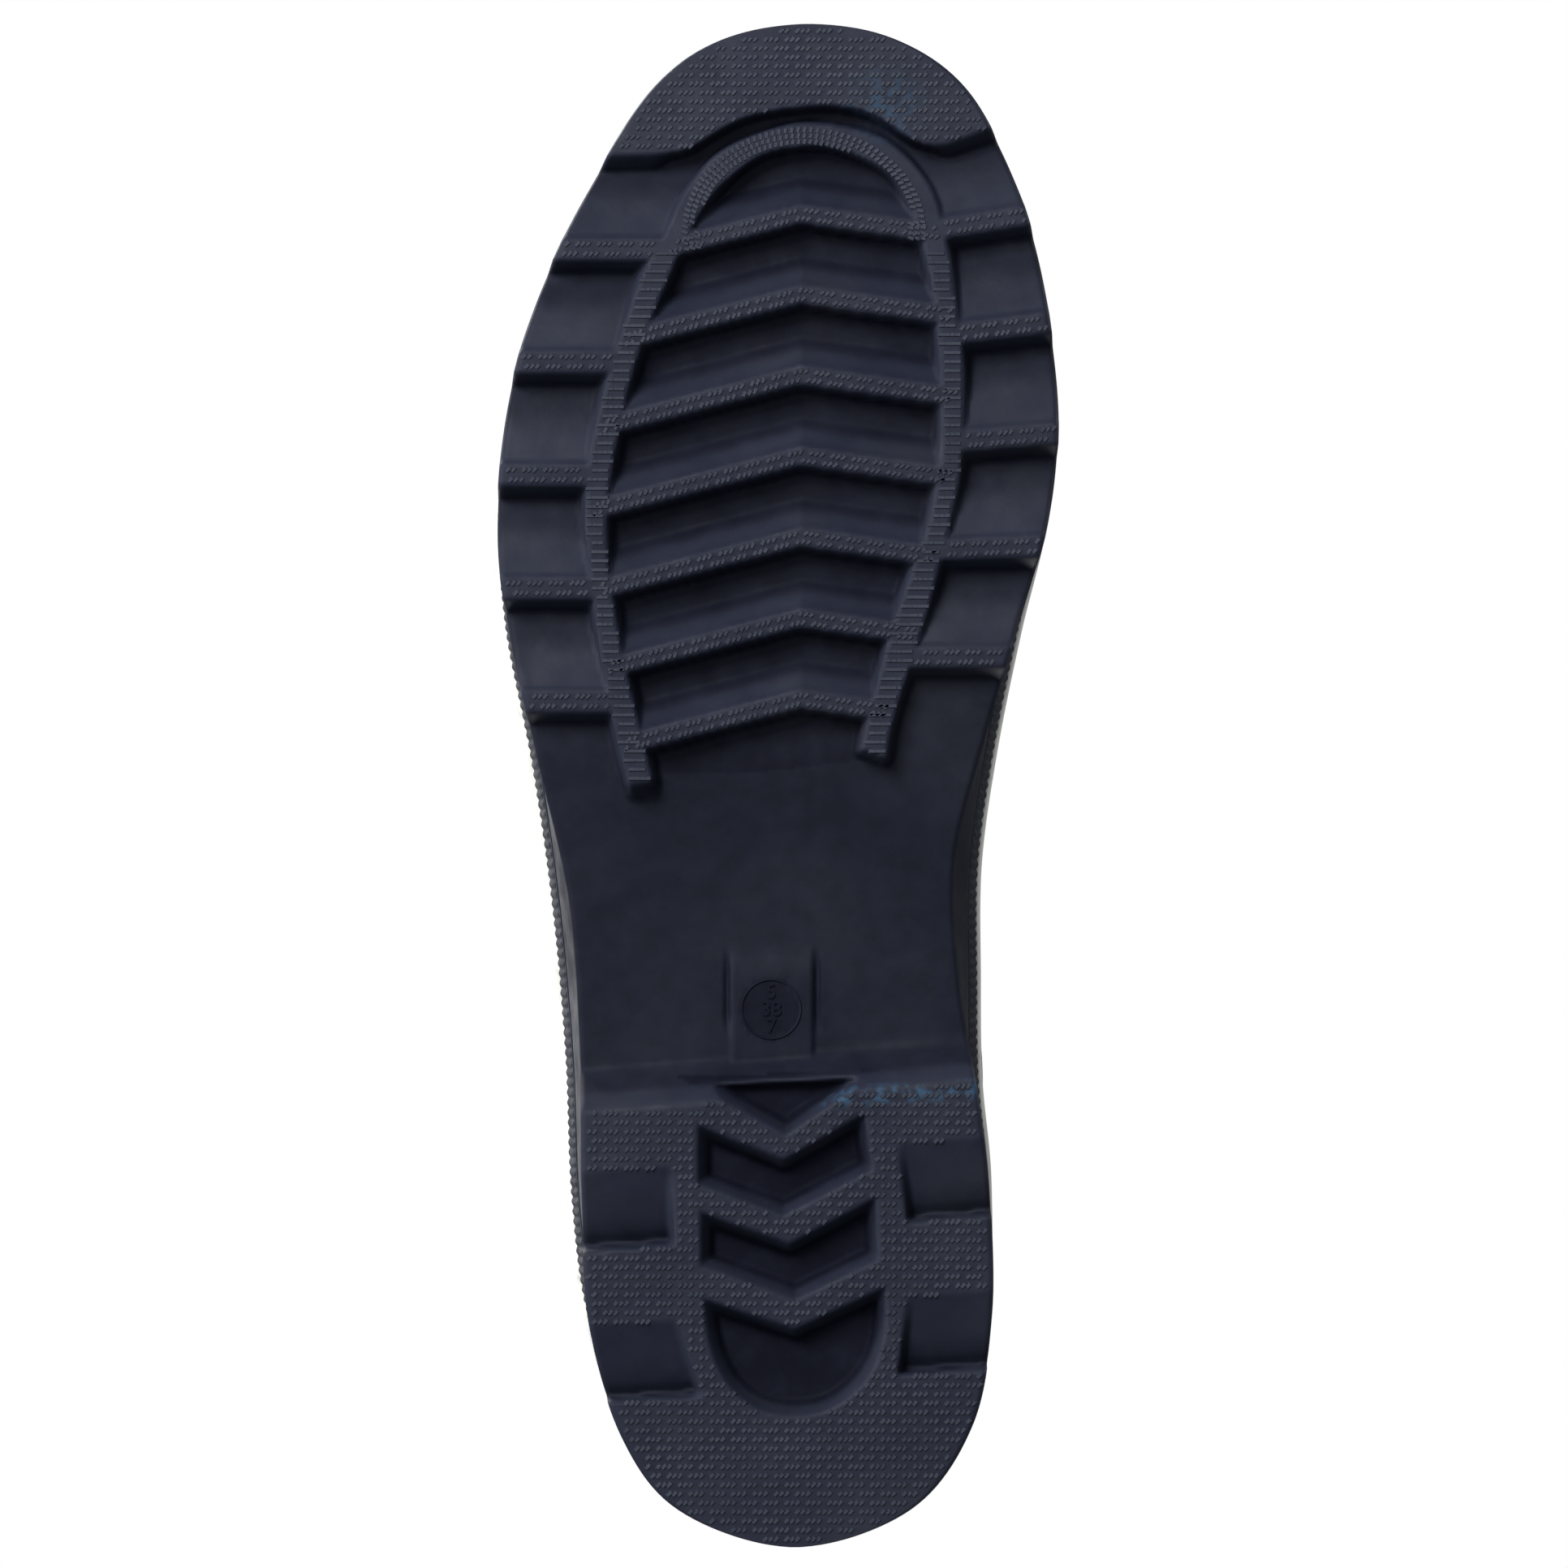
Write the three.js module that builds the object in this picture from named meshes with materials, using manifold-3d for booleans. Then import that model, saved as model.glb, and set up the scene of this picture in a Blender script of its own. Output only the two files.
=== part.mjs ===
// A short pull-on deck boot for the right foot, taken apart into the pieces it is built from.
// Millimetres, +Z up. The toe points to -Y, the heel to +Y, the inner side of the foot to +X.
// The tread rests on z = 0, and the origin is under the middle of the sole.
import * as THREE from 'three';
import { mergeVertices } from 'three/addons/utils/BufferGeometryUtils.js';
import Module from 'manifold-3d';

// ---- Driving dimensions ----
const soleLength = 264;         // toe to heel, over the edge stripe
const ballWidth = 98.6;         // across the widest part of the forefoot
const heelWidth = 74.8;         // across the seat of the heel
const bootHeight = 230;         // ground to the front of the top edge
const topSlope = 8;             // how much lower the top edge is at the back
const legWidth = 79;            // outside of the leg, side to side, at the top
const legDepth = 121;           // outside of the leg, front to back, at the top
const ankleWidth = 70;          // outside of the leg at its narrowest, side to side
const instepHeight = 102;       // top of the outsole to the bend at the front of the ankle
const toeHeight = 33;           // top of the outsole to the shoulder of the toe

const soleThickness = 10;       // outsole under the forefoot
const heelRise = 10;            // how much thicker the outsole is under the heel
const toeSpring = 8;            // lift of the toe off the ground
const springLength = 62;        // length of the toe that curls up
const treadDepth = 5;           // depth of the cells and of the gaps between the lugs
const archHeight = 8;           // ground to the underside of the waist
const sizeTabHeight = 0.8;      // raised oblong under the waist that carries the size

const foxingHeight = 13;        // knurled strip around the sole edge
const stripeHeight = 5;         // pale line above the knurled strip
const soleEdgeInset = 2.6;      // how far the top edge of the outsole lies inside the stripe
const foxingLean = 2;           // how far the knurled strip leans out from foot to top
const upperInset = 4.2;         // how far the upper's wall stands inside the stripe

const rubberThickness = 1.8;    // the upper's rubber sheet
const overlayThickness = 1.5;   // patches and strips laid over the sheet
const stiffenerThickness = 1;   // toe puff and heel stiffener
const liningThickness = 1.4;    // knitted lining
const fillerThickness = 2.4;    // sheet between the outsole and the insole board
const boardThickness = 2;       // insole board
const footbedThickness = 4;     // loose cushioned footbed
const shankWidth = 13;
const shankLength = 96;
const bandHeight = 13;          // binding that wraps the top edge
const topStripeHeight = 6;      // pale ring below the binding
const topStripeDrop = 7;        // binding to ring
const stripeProud = 1;          // thickness of the ring
const patchRadius = 19;         // patch over each ankle bone

const loopWidth = 18;           // pull loop: width of its webbing
const loopHeight = 26;
const loopDepth = 13;           // widest opening of the loop, outside to outside
const webbing = 1.5;            // thickness of the webbing
const gap = 0.3;                // clearance between touching pieces

// Patterns are drawn for the sample size, and graded to the sizes above.
const sampleLength = 264;
const sampleBall = 98.6;
const sampleHeel = 74.8;
const around = 36;              // points around the foot
const rise = 17;                // rows from the sole to the top edge
const gradeY = soleLength / sampleLength;

// ---- Small helpers ----
const V = (x, y, z) => new THREE.Vector3(x, y, z);
const mix = (a, b, t) => a + (b - a) * t;
const clamp01 = (t) => Math.min(1, Math.max(0, t));
const smooth = (t) => clamp01(t) ** 2 * (3 - 2 * clamp01(t));
const range = (n) => [...Array(n).keys()];

// Widths are graded by the ball in front of the waist and by the heel behind it.
function gradeX(x, y) {
  return x * mix(ballWidth / sampleBall, heelWidth / sampleHeel, smooth((y / gradeY + 20) / 60));
}
const onPlan = ([x, y]) => [gradeX(x, y * gradeY), y * gradeY];

// Height of the outsole's top: level under the forefoot, then rising to the heel seat.
const soleTop = (y) => soleThickness + heelRise * smooth((y / gradeY + 35) / 90);

// Lift of the toe, a parabola that starts behind the toe pad.
const lift = (y) => toeSpring * Math.max(0, (springLength - soleLength / 2 - y) / springLength) ** 2;

function toGeometry(points, index) {
  const geometry = new THREE.BufferGeometry();
  const flat = points.flatMap((p) => p.toArray());
  geometry.setAttribute('position', new THREE.Float32BufferAttribute(flat, 3));
  geometry.setIndex(index);
  return geometry;
}

// Turns a closed mesh the right way out, from the sign of its volume.
function outward(geometry) {
  const p = geometry.attributes.position;
  const index = [...geometry.index.array];
  const corner = (i) => V().fromBufferAttribute(p, index[i]);
  let volume = 0;
  for (let i = 0; i < index.length; i += 3) {
    volume += corner(i).dot(corner(i + 1).cross(corner(i + 2)));
  }
  geometry.setIndex(volume < 0 ? index.reverse() : index);
  return geometry;
}

// Joins rings of equal length into a closed body. A cyclic loft closes on its first ring.
// Otherwise both end rings are capped by strips between facing points: a ring with tips starts
// and turns at a single point, as a sole does, and a ring without tips turns between two.
// Each four-sided face is split along its shorter diagonal, so that layers bend alike.
function loft(rings, { cyclic = false, tips = false } = {}) {
  const n = rings[0].length;
  const points = rings.flat();
  const index = [];
  const quad = (a, b, c, d) => {
    const straight = points[a].distanceTo(points[c]) <= points[b].distanceTo(points[d]);
    index.push(...(straight ? [a, b, c, a, c, d] : [b, c, d, b, d, a]));
  };
  for (const j of range(cyclic ? rings.length : rings.length - 1)) {
    const next = ((j + 1) % rings.length) * n;
    for (const k of range(n)) quad(j * n + k, j * n + (k + 1) % n, next + (k + 1) % n, next + k);
  }
  const cap = (start, flip) => {
    const face = (...corners) => {
      const ids = [...new Set(corners.map((c) => start + (c + n) % n))];
      if (flip) ids.reverse();
      for (const i of range(ids.length - 2)) index.push(ids[0], ids[i + 2], ids[i + 1]);
    };
    const turn = tips ? n : n - 1;
    for (const k of range(tips ? n / 2 : n / 2 - 1)) face(k, k + 1, turn - k - 1, turn - k);
  };
  if (!cyclic) {
    cap(0, false);
    cap((rings.length - 1) * n, true);
  }
  return outward(toGeometry(points, index));
}

// ---- Solid joins and cuts ----
const wasm = await Module();
wasm.setup();

function solid(geometry) {
  const bare = geometry.clone();
  bare.deleteAttribute('normal');
  bare.deleteAttribute('uv');
  const merged = mergeVertices(bare, 1e-4);
  const vertProperties = Float32Array.from(merged.attributes.position.array);
  const triVerts = Uint32Array.from(merged.index.array);
  return new wasm.Manifold(new wasm.Mesh({ numProp: 3, vertProperties, triVerts }));
}

function fromSolid(body) {
  const { vertProperties, triVerts, numProp } = body.getMesh();
  const geometry = new THREE.BufferGeometry();
  const points = range(vertProperties.length / numProp)
    .flatMap((i) => [...vertProperties.subarray(i * numProp, i * numProp + 3)]);
  geometry.setAttribute('position', new THREE.Float32BufferAttribute(points, 3));
  geometry.setIndex([...triVerts]);
  return geometry;
}

const joined = (bodies) => bodies.reduce((a, b) => a.add(b));

// A flat outline raised from z0 to z1.
function prism(points, z0, z1, holes = []) {
  const shape = new THREE.Shape(points.map(([x, y]) => new THREE.Vector2(x, y)));
  shape.holes = holes.map((hole) => new THREE.Path(hole.map(([x, y]) => new THREE.Vector2(x, y))));
  const geometry = new THREE.ExtrudeGeometry(shape, { depth: z1 - z0, bevelEnabled: false });
  return solid(geometry.translate(0, 0, z0));
}

// A profile drawn in (y, z) and carried across from x0 to x1.
function bar(profile, x0, x1) {
  const shape = new THREE.Shape(profile.map(([y, z]) => new THREE.Vector2(y, z)));
  const geometry = new THREE.ExtrudeGeometry(shape, { depth: x1 - x0, bevelEnabled: false });
  geometry.applyMatrix4(new THREE.Matrix4().set(0, 0, 1, x0, 1, 0, 0, 0, 0, 1, 0, 0, 0, 0, 0, 1));
  return solid(geometry);
}

// ---- Sole edge ----
// From the middle of the heel, round the outer side to the toe, and back along the inner side:
// x and y of the stripe, then how far the tread's edge lies inside it.
const outerEdge = [
  [3, 132, 0.5], [-17, 126, 0.6], [-27.8, 113, 0.9], [-34.6, 93, 1.9], [-37.3, 72, 3.4],
  [-38.3, 48, 4], [-40.6, 21, 4.4], [-44.1, -4, 2.4], [-48.5, -27, 1.8], [-49.5, -45, 1],
  [-47, -66, 0.4], [-41.8, -84, 0.3], [-33.5, -102, 0.3], [-22.4, -120, 0.3], [-10.5, -129, 0.3],
];
const innerEdge = [
  [5, -132, 0.3], [20.5, -129.3, 0.3], [33.2, -120, 0.3], [42.1, -102, 0.3], [46.6, -84, 0.3],
  [48.7, -63, 0.3], [47.1, -45, 0.5], [42.7, -26.5, 1.4], [38.6, -6, 3.2], [35.9, 14, 5.3],
  [35.8, 34, 4.3], [36.1, 52, 1.8], [37.7, 70, 1.2], [37.4, 92, 0.5], [33.9, 111, 0.5],
  [23, 125.6, 0.5],
];

// Points evenly spaced along each side, so that point k faces point around - k.
function soleRing() {
  const knots = [...outerEdge, ...innerEdge].map(([x, y, inset]) => V(...onPlan([x, y]), inset));
  const curve = new THREE.CatmullRomCurve3(knots, true, 'catmullrom', 0.5);
  const toe = outerEdge.length / knots.length;
  const side = (from, to) => {
    const steps = 200;
    const fine = range(steps + 1).map((i) => curve.getPoint(mix(from, to, i / steps) % 1));
    const run = [0];
    for (const i of range(steps)) {
      run.push(run[i] + Math.hypot(fine[i + 1].x - fine[i].x, fine[i + 1].y - fine[i].y));
    }
    return range(around / 2).map((k) => {
      const want = run[steps] * k / (around / 2);
      const i = Math.max(0, run.findIndex((r) => r > want) - 1);
      return fine[i].clone().lerp(fine[i + 1], (want - run[i]) / (run[i + 1] - run[i]));
    });
  };
  return [...side(0, toe), ...side(toe, 1)];
}
const edge = soleRing();
const edgeInward = edge.map((p, k) => {
  const along = edge[(k + 1) % around].clone().sub(edge[(k + around - 1) % around]);
  return V(along.y, -along.x, 0).normalize().negate();
});

// A ring that lies inside the stripe by an inset, at a height given for each y.
const ringInside = (inset, height) => edge.map((p, k) => {
  const q = V(p.x, p.y, 0).addScaledVector(edgeInward[k], typeof inset === 'number' ? inset : inset(p));
  return q.setZ(height(p.y));
});
const levelOver = (up) => (y) => soleTop(y) + up;
// A flat layer of the sole between two heights over the outsole.
const layer = (inset, from, to) => loft(
  [ringInside(inset, levelOver(from)), ringInside(inset, levelOver(to))], { tips: true });

// ---- Surface of the upper ----
// The lowest two rows stand inside the bands of the sole edge. Each other row is a ring around
// the foot or leg: the y of its front and back, its height over the outsole at the front and
// back, its width at the front and back as a share of the sole's, and how far it has turned from
// the shape of the sole to an oval of its own width.
const heelSeat = soleThickness + heelRise;
const legRow = (share, front, back, width) => ({
  front, back, width, oval: 1, share: 1, shareBack: 1,
  up: mix(instepHeight + 22, bootHeight - soleThickness, share),
  upBack: mix(instepHeight + 18, bootHeight - topSlope - heelSeat, share),
});
const footRow = (front, back, up, upBack, share, shareBack, oval = 0, waist = 1) => ({
  front: front * gradeY, back: back * gradeY, up, upBack, share, shareBack, oval, width: waist * ankleWidth,
});
const vampBase = toeHeight + 12;
const onVamp = (share) => mix(vampBase, instepHeight, share);
const toeShoulder = foxingHeight + stripeHeight + 2 * gap;
const topBack = 121 * gradeY;
const topFront = topBack - legDepth;
const rows = [
  { inset: upperInset, up: gap },
  { inset: upperInset + 0.3, up: toeShoulder },
  footRow(-124.5, 126.4, toeHeight, instepHeight * 0.31, 0.885, 0.875),
  footRow(-112, 124.8, vampBase, instepHeight * 0.45, 0.825, 0.865),
  footRow(-84, 122.3, onVamp(0.19), instepHeight * 0.59, 0.73, 0.855),
  footRow(-54, 119.5, onVamp(0.39), instepHeight * 0.72, 0.66, 0.855, 0.25, 0.943),
  footRow(-24, 117.2, onVamp(0.65), instepHeight * 0.85, 0.64, 0.87, 0.55, 0.957),
  footRow(1, 116, instepHeight, instepHeight, 0.7, 0.9, 0.85, 0.986),
  legRow(0, topFront + 7, topBack - 5, ankleWidth),
  legRow(0.35, topFront + 5, topBack - 3, mix(ankleWidth, legWidth, 0.35)),
  legRow(0.7, topFront + 2, topBack - 1, mix(ankleWidth, legWidth, 0.78)),
  legRow(1, topFront, topBack, legWidth),
];

function rowRing(row) {
  if (row.inset) return ringInside(row.inset, levelOver(row.up));
  return edge.map((p, k) => {
    const forward = (soleLength / 2 - p.y) / soleLength;
    const angle = 2 * Math.PI * k / around;
    const share = mix(row.shareBack, row.share, smooth(forward));
    const foot = V(p.x * share, mix(row.back, row.front, forward), 0);
    foot.z = soleTop(p.y) + mix(row.upBack, row.up, forward);
    const middle = (row.front + row.back) / 2;
    const level = mix(heelSeat + row.upBack, soleThickness + row.up, (1 - Math.cos(angle)) / 2);
    const oval = V(-row.width / 2 * Math.sin(angle), middle + (row.back - middle) * Math.cos(angle), level);
    return foot.lerp(oval, row.oval);
  });
}

// The rows are joined by smooth curves that climb the boot, and the surface is read off a grid.
const rowRings = rows.map(rowRing);
const climbing = range(around).map((k) => new THREE.CatmullRomCurve3(
  rowRings.map((ring) => ring[k]), false, 'catmullrom', 0.5));
const grid = range(rise + 1).map((j) => climbing.map((curve) => curve.getPoint(j / rise)));
const gridNormal = grid.map((ring, j) => ring.map((p, k) => {
  const across = ring[(k + 1) % around].clone().sub(ring[(k + around - 1) % around]);
  const up = grid[Math.min(rise, j + 1)][k].clone().sub(grid[Math.max(0, j - 1)][k]);
  return across.cross(up).normalize();
}));

// A point of the upper at row j and place k, both of which may fall between grid lines, moved
// out along the surface's normal.
function onUpper(j, k, out) {
  const j0 = Math.min(rise - 1, Math.floor(j));
  const k0 = Math.floor(k);
  const read = (table) => {
    const at = (row, place) => table[row][(place + 2 * around) % around];
    const low = at(j0, k0).clone().lerp(at(j0, k0 + 1), k - k0);
    return low.lerp(at(j0 + 1, k0).clone().lerp(at(j0 + 1, k0 + 1), k - k0), j - j0);
  };
  return read(grid).addScaledVector(read(gridNormal).normalize(), out);
}

// Grid steps from a to b, with the two ends drawn in by half a gap.
function trimmed(a, b, cell) {
  const trim = gap / 2 / cell;
  return [a + trim, ...range(Math.ceil(b) - Math.floor(a) - 1).map((i) => Math.floor(a) + i + 1), b - trim];
}
const cellUp = (j, k) => onUpper(j, k, 0).distanceTo(onUpper(j + 1, k, 0));
const cellAcross = (j, k) => onUpper(j, k, 0).distanceTo(onUpper(j, k + 1, 0));

// A sheet of rubber on the upper, between two places and two rows, from one depth to another.
function panel([k0, k1], [j0, j1], inner, outer) {
  const levels = trimmed(j0, j1, cellUp(Math.min(rise - 1, Math.floor(j0)), k0));
  return loft(levels.map((j) => {
    const places = trimmed(k0, k1, cellAcross(j, (k0 + k1) / 2));
    return [...places.map((k) => onUpper(j, k, outer)), ...places.reverse().map((k) => onUpper(j, k, inner))];
  }));
}

// A sheet that goes right round, from row j0 to row j1. Its depth may change from place to place.
function sleeve([j0, j1], depth, thickness) {
  const levels = trimmed(j0, j1, cellUp(Math.min(rise - 1, Math.floor(j0)), 0));
  const wall = (extra) => levels.map((j) => range(around).map((k) => onUpper(j, k, -depth(j, k) - extra)));
  return loft([...wall(0), ...wall(thickness).reverse()], { cyclic: true });
}

// Row whose height at the back is z, so that bands can be set by size.
function rowAtBack(z) {
  const j = grid.findIndex((ring) => ring[0].z > z) - 1;
  return j + (z - grid[j][0].z) / (grid[j + 1][0].z - grid[j][0].z);
}

// ---- Tread ----
// Rear edge of the toe pad, which curves round the front of the ring.
const padEdge = [
  [-60, -108.5], [-17, -109], [-10, -113.3], [0, -116.7], [9, -117.4], [18, -115.1], [25, -110.5],
  [28, -110.2], [38, -114], [60, -120],
];
// Ring around the chevrons: outer outline, from the left limb's end round the front to the right.
const ringOutside = [
  [-25.5, 0.5], [-28.5, -12], [-31.5, -30], [-33, -46], [-32, -58], [-29, -70.5], [-24, -86],
  [-20, -93], [-16, -102], [-10, -109], [0, -113.5], [8, -114], [18, -111.5], [25, -105],
  [28.5, -95], [31, -80], [32, -68], [31, -52], [26, -31], [20, -12], [18.5, -4.5],
];
// Inner edges of the two limbs, from the front to the back: y, then x on the left and right.
const limbInside = [
  [-108, -6, 15], [-98, -14, 23.5], [-80, -22, 27.5], [-65, -26.5, 28.3], [-47, -29.4, 26.5],
  [-33, -28.5, 21.7], [-14, -24.6, 16.3], [0, -21.7, 14.5],
];
const limbWidth = 5;
const chevrons = 7;
const firstApex = -100;         // front edge of the first chevron at its point
const chevronPitch = 13.95;
const chevronWidth = 3.3;
const chevronPoint = 4;         // x of the points
const slopeLeft = 0.26;         // how the arms fall back, per millimetre across
const slopeRight = 0.14;

function limbX(y, column) {
  const i = Math.max(1, limbInside.findIndex(([at]) => at >= y));
  const [before, after] = [limbInside[i - 1], limbInside[i]];
  return mix(before[column], after[column], clamp01((y - before[0]) / (after[0] - before[0])));
}

// Three points across the ring along a chevron's edge.
function chevronLine(apexY) {
  const leftY = apexY + slopeLeft * (chevronPoint - limbX(apexY + 7, 1));
  const rightY = apexY + slopeRight * (limbX(apexY + 3, 2) - chevronPoint);
  return [[limbX(leftY, 1), leftY], [chevronPoint, apexY], [limbX(rightY, 2), rightY]];
}

function chevronCells() {
  const front = [[-13.5, -99], [-8, -105], [3, -110], [15, -109], [22, -101]];
  const apexOf = (i) => firstApex + i * chevronPitch;
  const cells = range(chevrons - 1).map((i) => [
    ...chevronLine(apexOf(i) + chevronWidth), ...chevronLine(apexOf(i + 1)).reverse(),
  ]);
  return [[...front, [22.8, -98.2], [chevronPoint, firstApex]], ...cells];
}

// Raised ring with its chevrons. Behind the last chevron it is open to the waist.
function ringPrism() {
  const last = chevronLine(firstApex + (chevrons - 1) * chevronPitch + chevronWidth);
  const outline = [...ringOutside, [14.5, -5.5], ...last.reverse(), [-21.7, -0.5]];
  return prism(outline.map(onPlan), -1, treadDepth + 1, chevronCells().map((cell) => cell.map(onPlan)));
}

// Side lugs rise along a ramp to a flat strip and drop steeply behind it. A tilted lug turns
// about its place at the hinge, and the tilt eases off to nothing at the last lug.
const lugs = { count: 5, ramp: 12, strip: 3.5, wall: 2.5, reach: 60, hinge: 30 };
function lugRow(firstY, pitch, side, tilt) {
  return range(lugs.count).map((i) => {
    const y = firstY + i * pitch;
    const slant = tilt * (1 - i / (lugs.count - 1));
    const start = y - slant * lugs.hinge;
    const profile = [
      [start - lugs.ramp, treadDepth + 0.5], [start, 0], [start + lugs.strip, 0],
      [start + lugs.strip + lugs.wall, treadDepth + 0.5],
    ].map(([py, pz]) => [py * gradeY, pz]);
    const inner = onPlan([side * (limbX(y, side < 0 ? 1 : 2) * side + limbWidth - 1), y])[0];
    const from = Math.min(inner, side * lugs.reach);
    const to = Math.max(inner, side * lugs.reach);
    const skew = new THREE.Matrix4().makeShear(slant, 0, 0, 0, 0, 0);
    return bar(profile, from, to).transform(skew.elements.slice());
  });
}

// Heel: three cells down the middle and two notches on each side.
const heelCells = [
  [[-14, 58.5], [1, 64.5], [15, 56.5], [16.5, 66.5], [1, 74.5], [-14, 69]],
  [[-13.5, 73.5], [2, 79], [17, 71], [17.5, 82], [3, 89], [-13.5, 83]],
  [
    [-13, 88.5], [3, 93.7], [18.5, 86.5], [18, 98], [11, 107], [5, 109], [0, 108.5], [-6, 106.5],
    [-12, 96],
  ],
];
const heelNotches = [
  [-17.7, -60, 66, 81.5], [-15, -60, 92.5, 107.5], [21, 60, 62, 77.5], [21, 60, 88.5, 103.5],
];

function heelNotch([inner, outer, from, to]) {
  const profile = [[from, -0.5], [from, 0], [to - 2.5, treadDepth], [to, 0], [to, -0.5]];
  const ends = [inner, outer].map((x) => onPlan([x, to])[0]).sort((a, b) => a - b);
  return bar(profile.map(([y, z]) => [y * gradeY, z]), ...ends);
}

// Splits a mesh along planes of constant y, so that the curl of the toe can bend it.
function sliceAcross(geometry, planes) {
  const at = (i) => V().fromBufferAttribute(geometry.attributes.position, i);
  const { array, count } = geometry.index;
  let faces = range(count / 3).map((f) => [0, 1, 2].map((c) => at(array[3 * f + c])));
  const cross = (a, b, y) => {
    const [low, high] = a.y < b.y ? [a, b] : [b, a];
    return low.clone().lerp(high, (y - low.y) / (high.y - low.y)).setY(y);
  };
  for (const y of planes) {
    faces = faces.flatMap((face) => {
      if (face.every((p) => p.y <= y) || face.every((p) => p.y >= y)) return [face];
      const above = face.map((p) => p.y > y);
      const lone = [0, 1, 2].find((i) => above.filter((side) => side === above[i]).length === 1);
      const [a, b, c] = [0, 1, 2].map((i) => face[(lone + i) % 3]);
      const [ab, ca] = [cross(a, b, y), cross(a, c, y)];
      const parts = [[a, ab, ca], [ab, b, c], [ab, c, ca]];
      return parts.filter(([p, q, r]) => !p.equals(q) && !q.equals(r) && !r.equals(p));
    });
  }
  const points = faces.flat();
  return mergeVertices(toGeometry(points, range(points.length)), 1e-5);
}

function outsole() {
  const treadEdge = ringInside((p) => p.z, () => 0);
  const shoulder = ringInside((p) => mix(p.z, soleEdgeInset, 0.6), (y) => soleTop(y) * 0.55);
  const top = ringInside(soleEdgeInset, soleTop);
  const block = solid(loft([treadEdge, shoulder, top], { tips: true }));
  const wide = soleLength;
  const margin = prism([...padEdge, [60, 4], [-60, 4]].map(onPlan), -1, treadDepth);
  const waist = bar([[-1, -1], [-1, 0], [5, archHeight], [47, archHeight], [55, 0], [55, -1]]
    .map(([y, z]) => [y * gradeY, z]), -wide, wide);
  const raisedLugs = joined([...lugRow(-94, 19.5, -1, 0), ...lugRow(-97.8, 18.55, 1, -0.16)]);
  const tabOutline = [[-8.5, 30], [6.5, 30], [6.5, 48], [-8.5, 48]].map(onPlan);
  const tab = prism(tabOutline, archHeight - sizeTabHeight, archHeight + 1);
  const cells = joined(heelCells.map((cell) => prism(cell.map(onPlan), -1, treadDepth)));
  const seat = solid(loft([
    ringInside(heelWall, () => heelFloor), ringInside(heelWall, (y) => soleTop(y) + 1),
  ], { tips: true })).intersect(prism(seatOutline(0).map(onPlan), 0, soleTop(soleLength) + 2));
  return fromSolid(block
    .subtract(margin.subtract(ringPrism()))
    .add(raisedLugs.intersect(block))
    .subtract(waist)
    .add(tab)
    .subtract(cells)
    .subtract(joined(heelNotches.map(heelNotch)))
    .subtract(seat));
}

// The heel is moulded hollow from above, to save weight, and a filler closes it.
const heelWall = 11;
const heelFloor = treadDepth + 4;
const seatFront = 62;
const seatOutline = (shrink) => [
  [-60, seatFront + shrink], [60, seatFront + shrink], [60, 140], [-60, 140],
];

function heelFiller() {
  const inset = heelWall + gap;
  const core = solid(loft([
    ringInside(inset, () => heelFloor + gap), ringInside(inset, soleTop),
  ], { tips: true }));
  return fromSolid(core.intersect(prism(seatOutline(gap).map(onPlan), 0, soleTop(soleLength) + 2)));
}

// ---- Layers inside the sole ----
const boardInset = upperInset + rubberThickness + stiffenerThickness + liningThickness + 3 * gap + 0.8;
const fillerTop = gap + fillerThickness;
const boardTop = fillerTop + gap + boardThickness;

// The shank bears on the front of the heel seat and runs forward under the waist.
const shankBack = seatFront * gradeY + 4;
const shankFront = shankBack - shankLength;

function shankOutline(grow) {
  const half = shankWidth / 2 + grow;
  const [front, back] = [shankFront - grow, shankBack + grow];
  return [[-half, front], [half, front], [half, back], [-half, back]];
}

// The shank lies in a slot of the filler, bent to the rise of the waist.
function shank() {
  const steps = 12;
  const half = shankWidth / 2;
  const rings = range(steps + 1).map((i) => {
    const y = mix(shankFront, shankBack, i / steps);
    const low = soleTop(y) + 3 * gap;
    const high = soleTop(y) + fillerThickness - gap;
    return [V(-half, y, low), V(half, y, low), V(half, y, high), V(-half, y, high)];
  });
  return loft(rings);
}

function midsoleFiller() {
  const sheet = solid(layer(boardInset, gap, fillerTop));
  return fromSolid(sheet.subtract(prism(shankOutline(2 * gap), 0, bootHeight)));
}

// ---- Bands around the sole edge ----
function foxingBand() {
  const inner = upperInset - 2 * gap;
  return loft([
    ringInside(soleEdgeInset, levelOver(gap)),
    ringInside(soleEdgeInset - foxingLean, levelOver(gap + foxingHeight)),
    ringInside(inner, levelOver(gap + foxingHeight)),
    ringInside(inner, levelOver(gap)),
  ], { cyclic: true });
}

function foxingStripe() {
  const inner = upperInset - 2 * gap;
  const low = foxingHeight + 2 * gap;
  const bulge = stripeHeight / 4;
  return loft([
    ringInside(soleEdgeInset - foxingLean, levelOver(low)),
    ringInside(0, levelOver(low + bulge)),
    ringInside(0, levelOver(low + stripeHeight - bulge)),
    ringInside(1, levelOver(low + stripeHeight)),
    ringInside(inner, levelOver(low + stripeHeight)),
    ringInside(inner, levelOver(low)),
  ], { cyclic: true });
}

// ---- Rows where the upper's pieces begin and end ----
const half = around / 2;
const bandRow = rowAtBack(bootHeight - topSlope - bandHeight);
const stripeHead = rowAtBack(bootHeight - topSlope - bandHeight - topStripeDrop);
const stripeFoot = rowAtBack(bootHeight - topSlope - bandHeight - topStripeDrop - topStripeHeight);
const bandsTop = 2;             // first row clear of the stripe around the sole
const legRowStart = 11;         // where the leg is lapped onto the foot
const capRow = 5;
const counterRow = 6;

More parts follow.
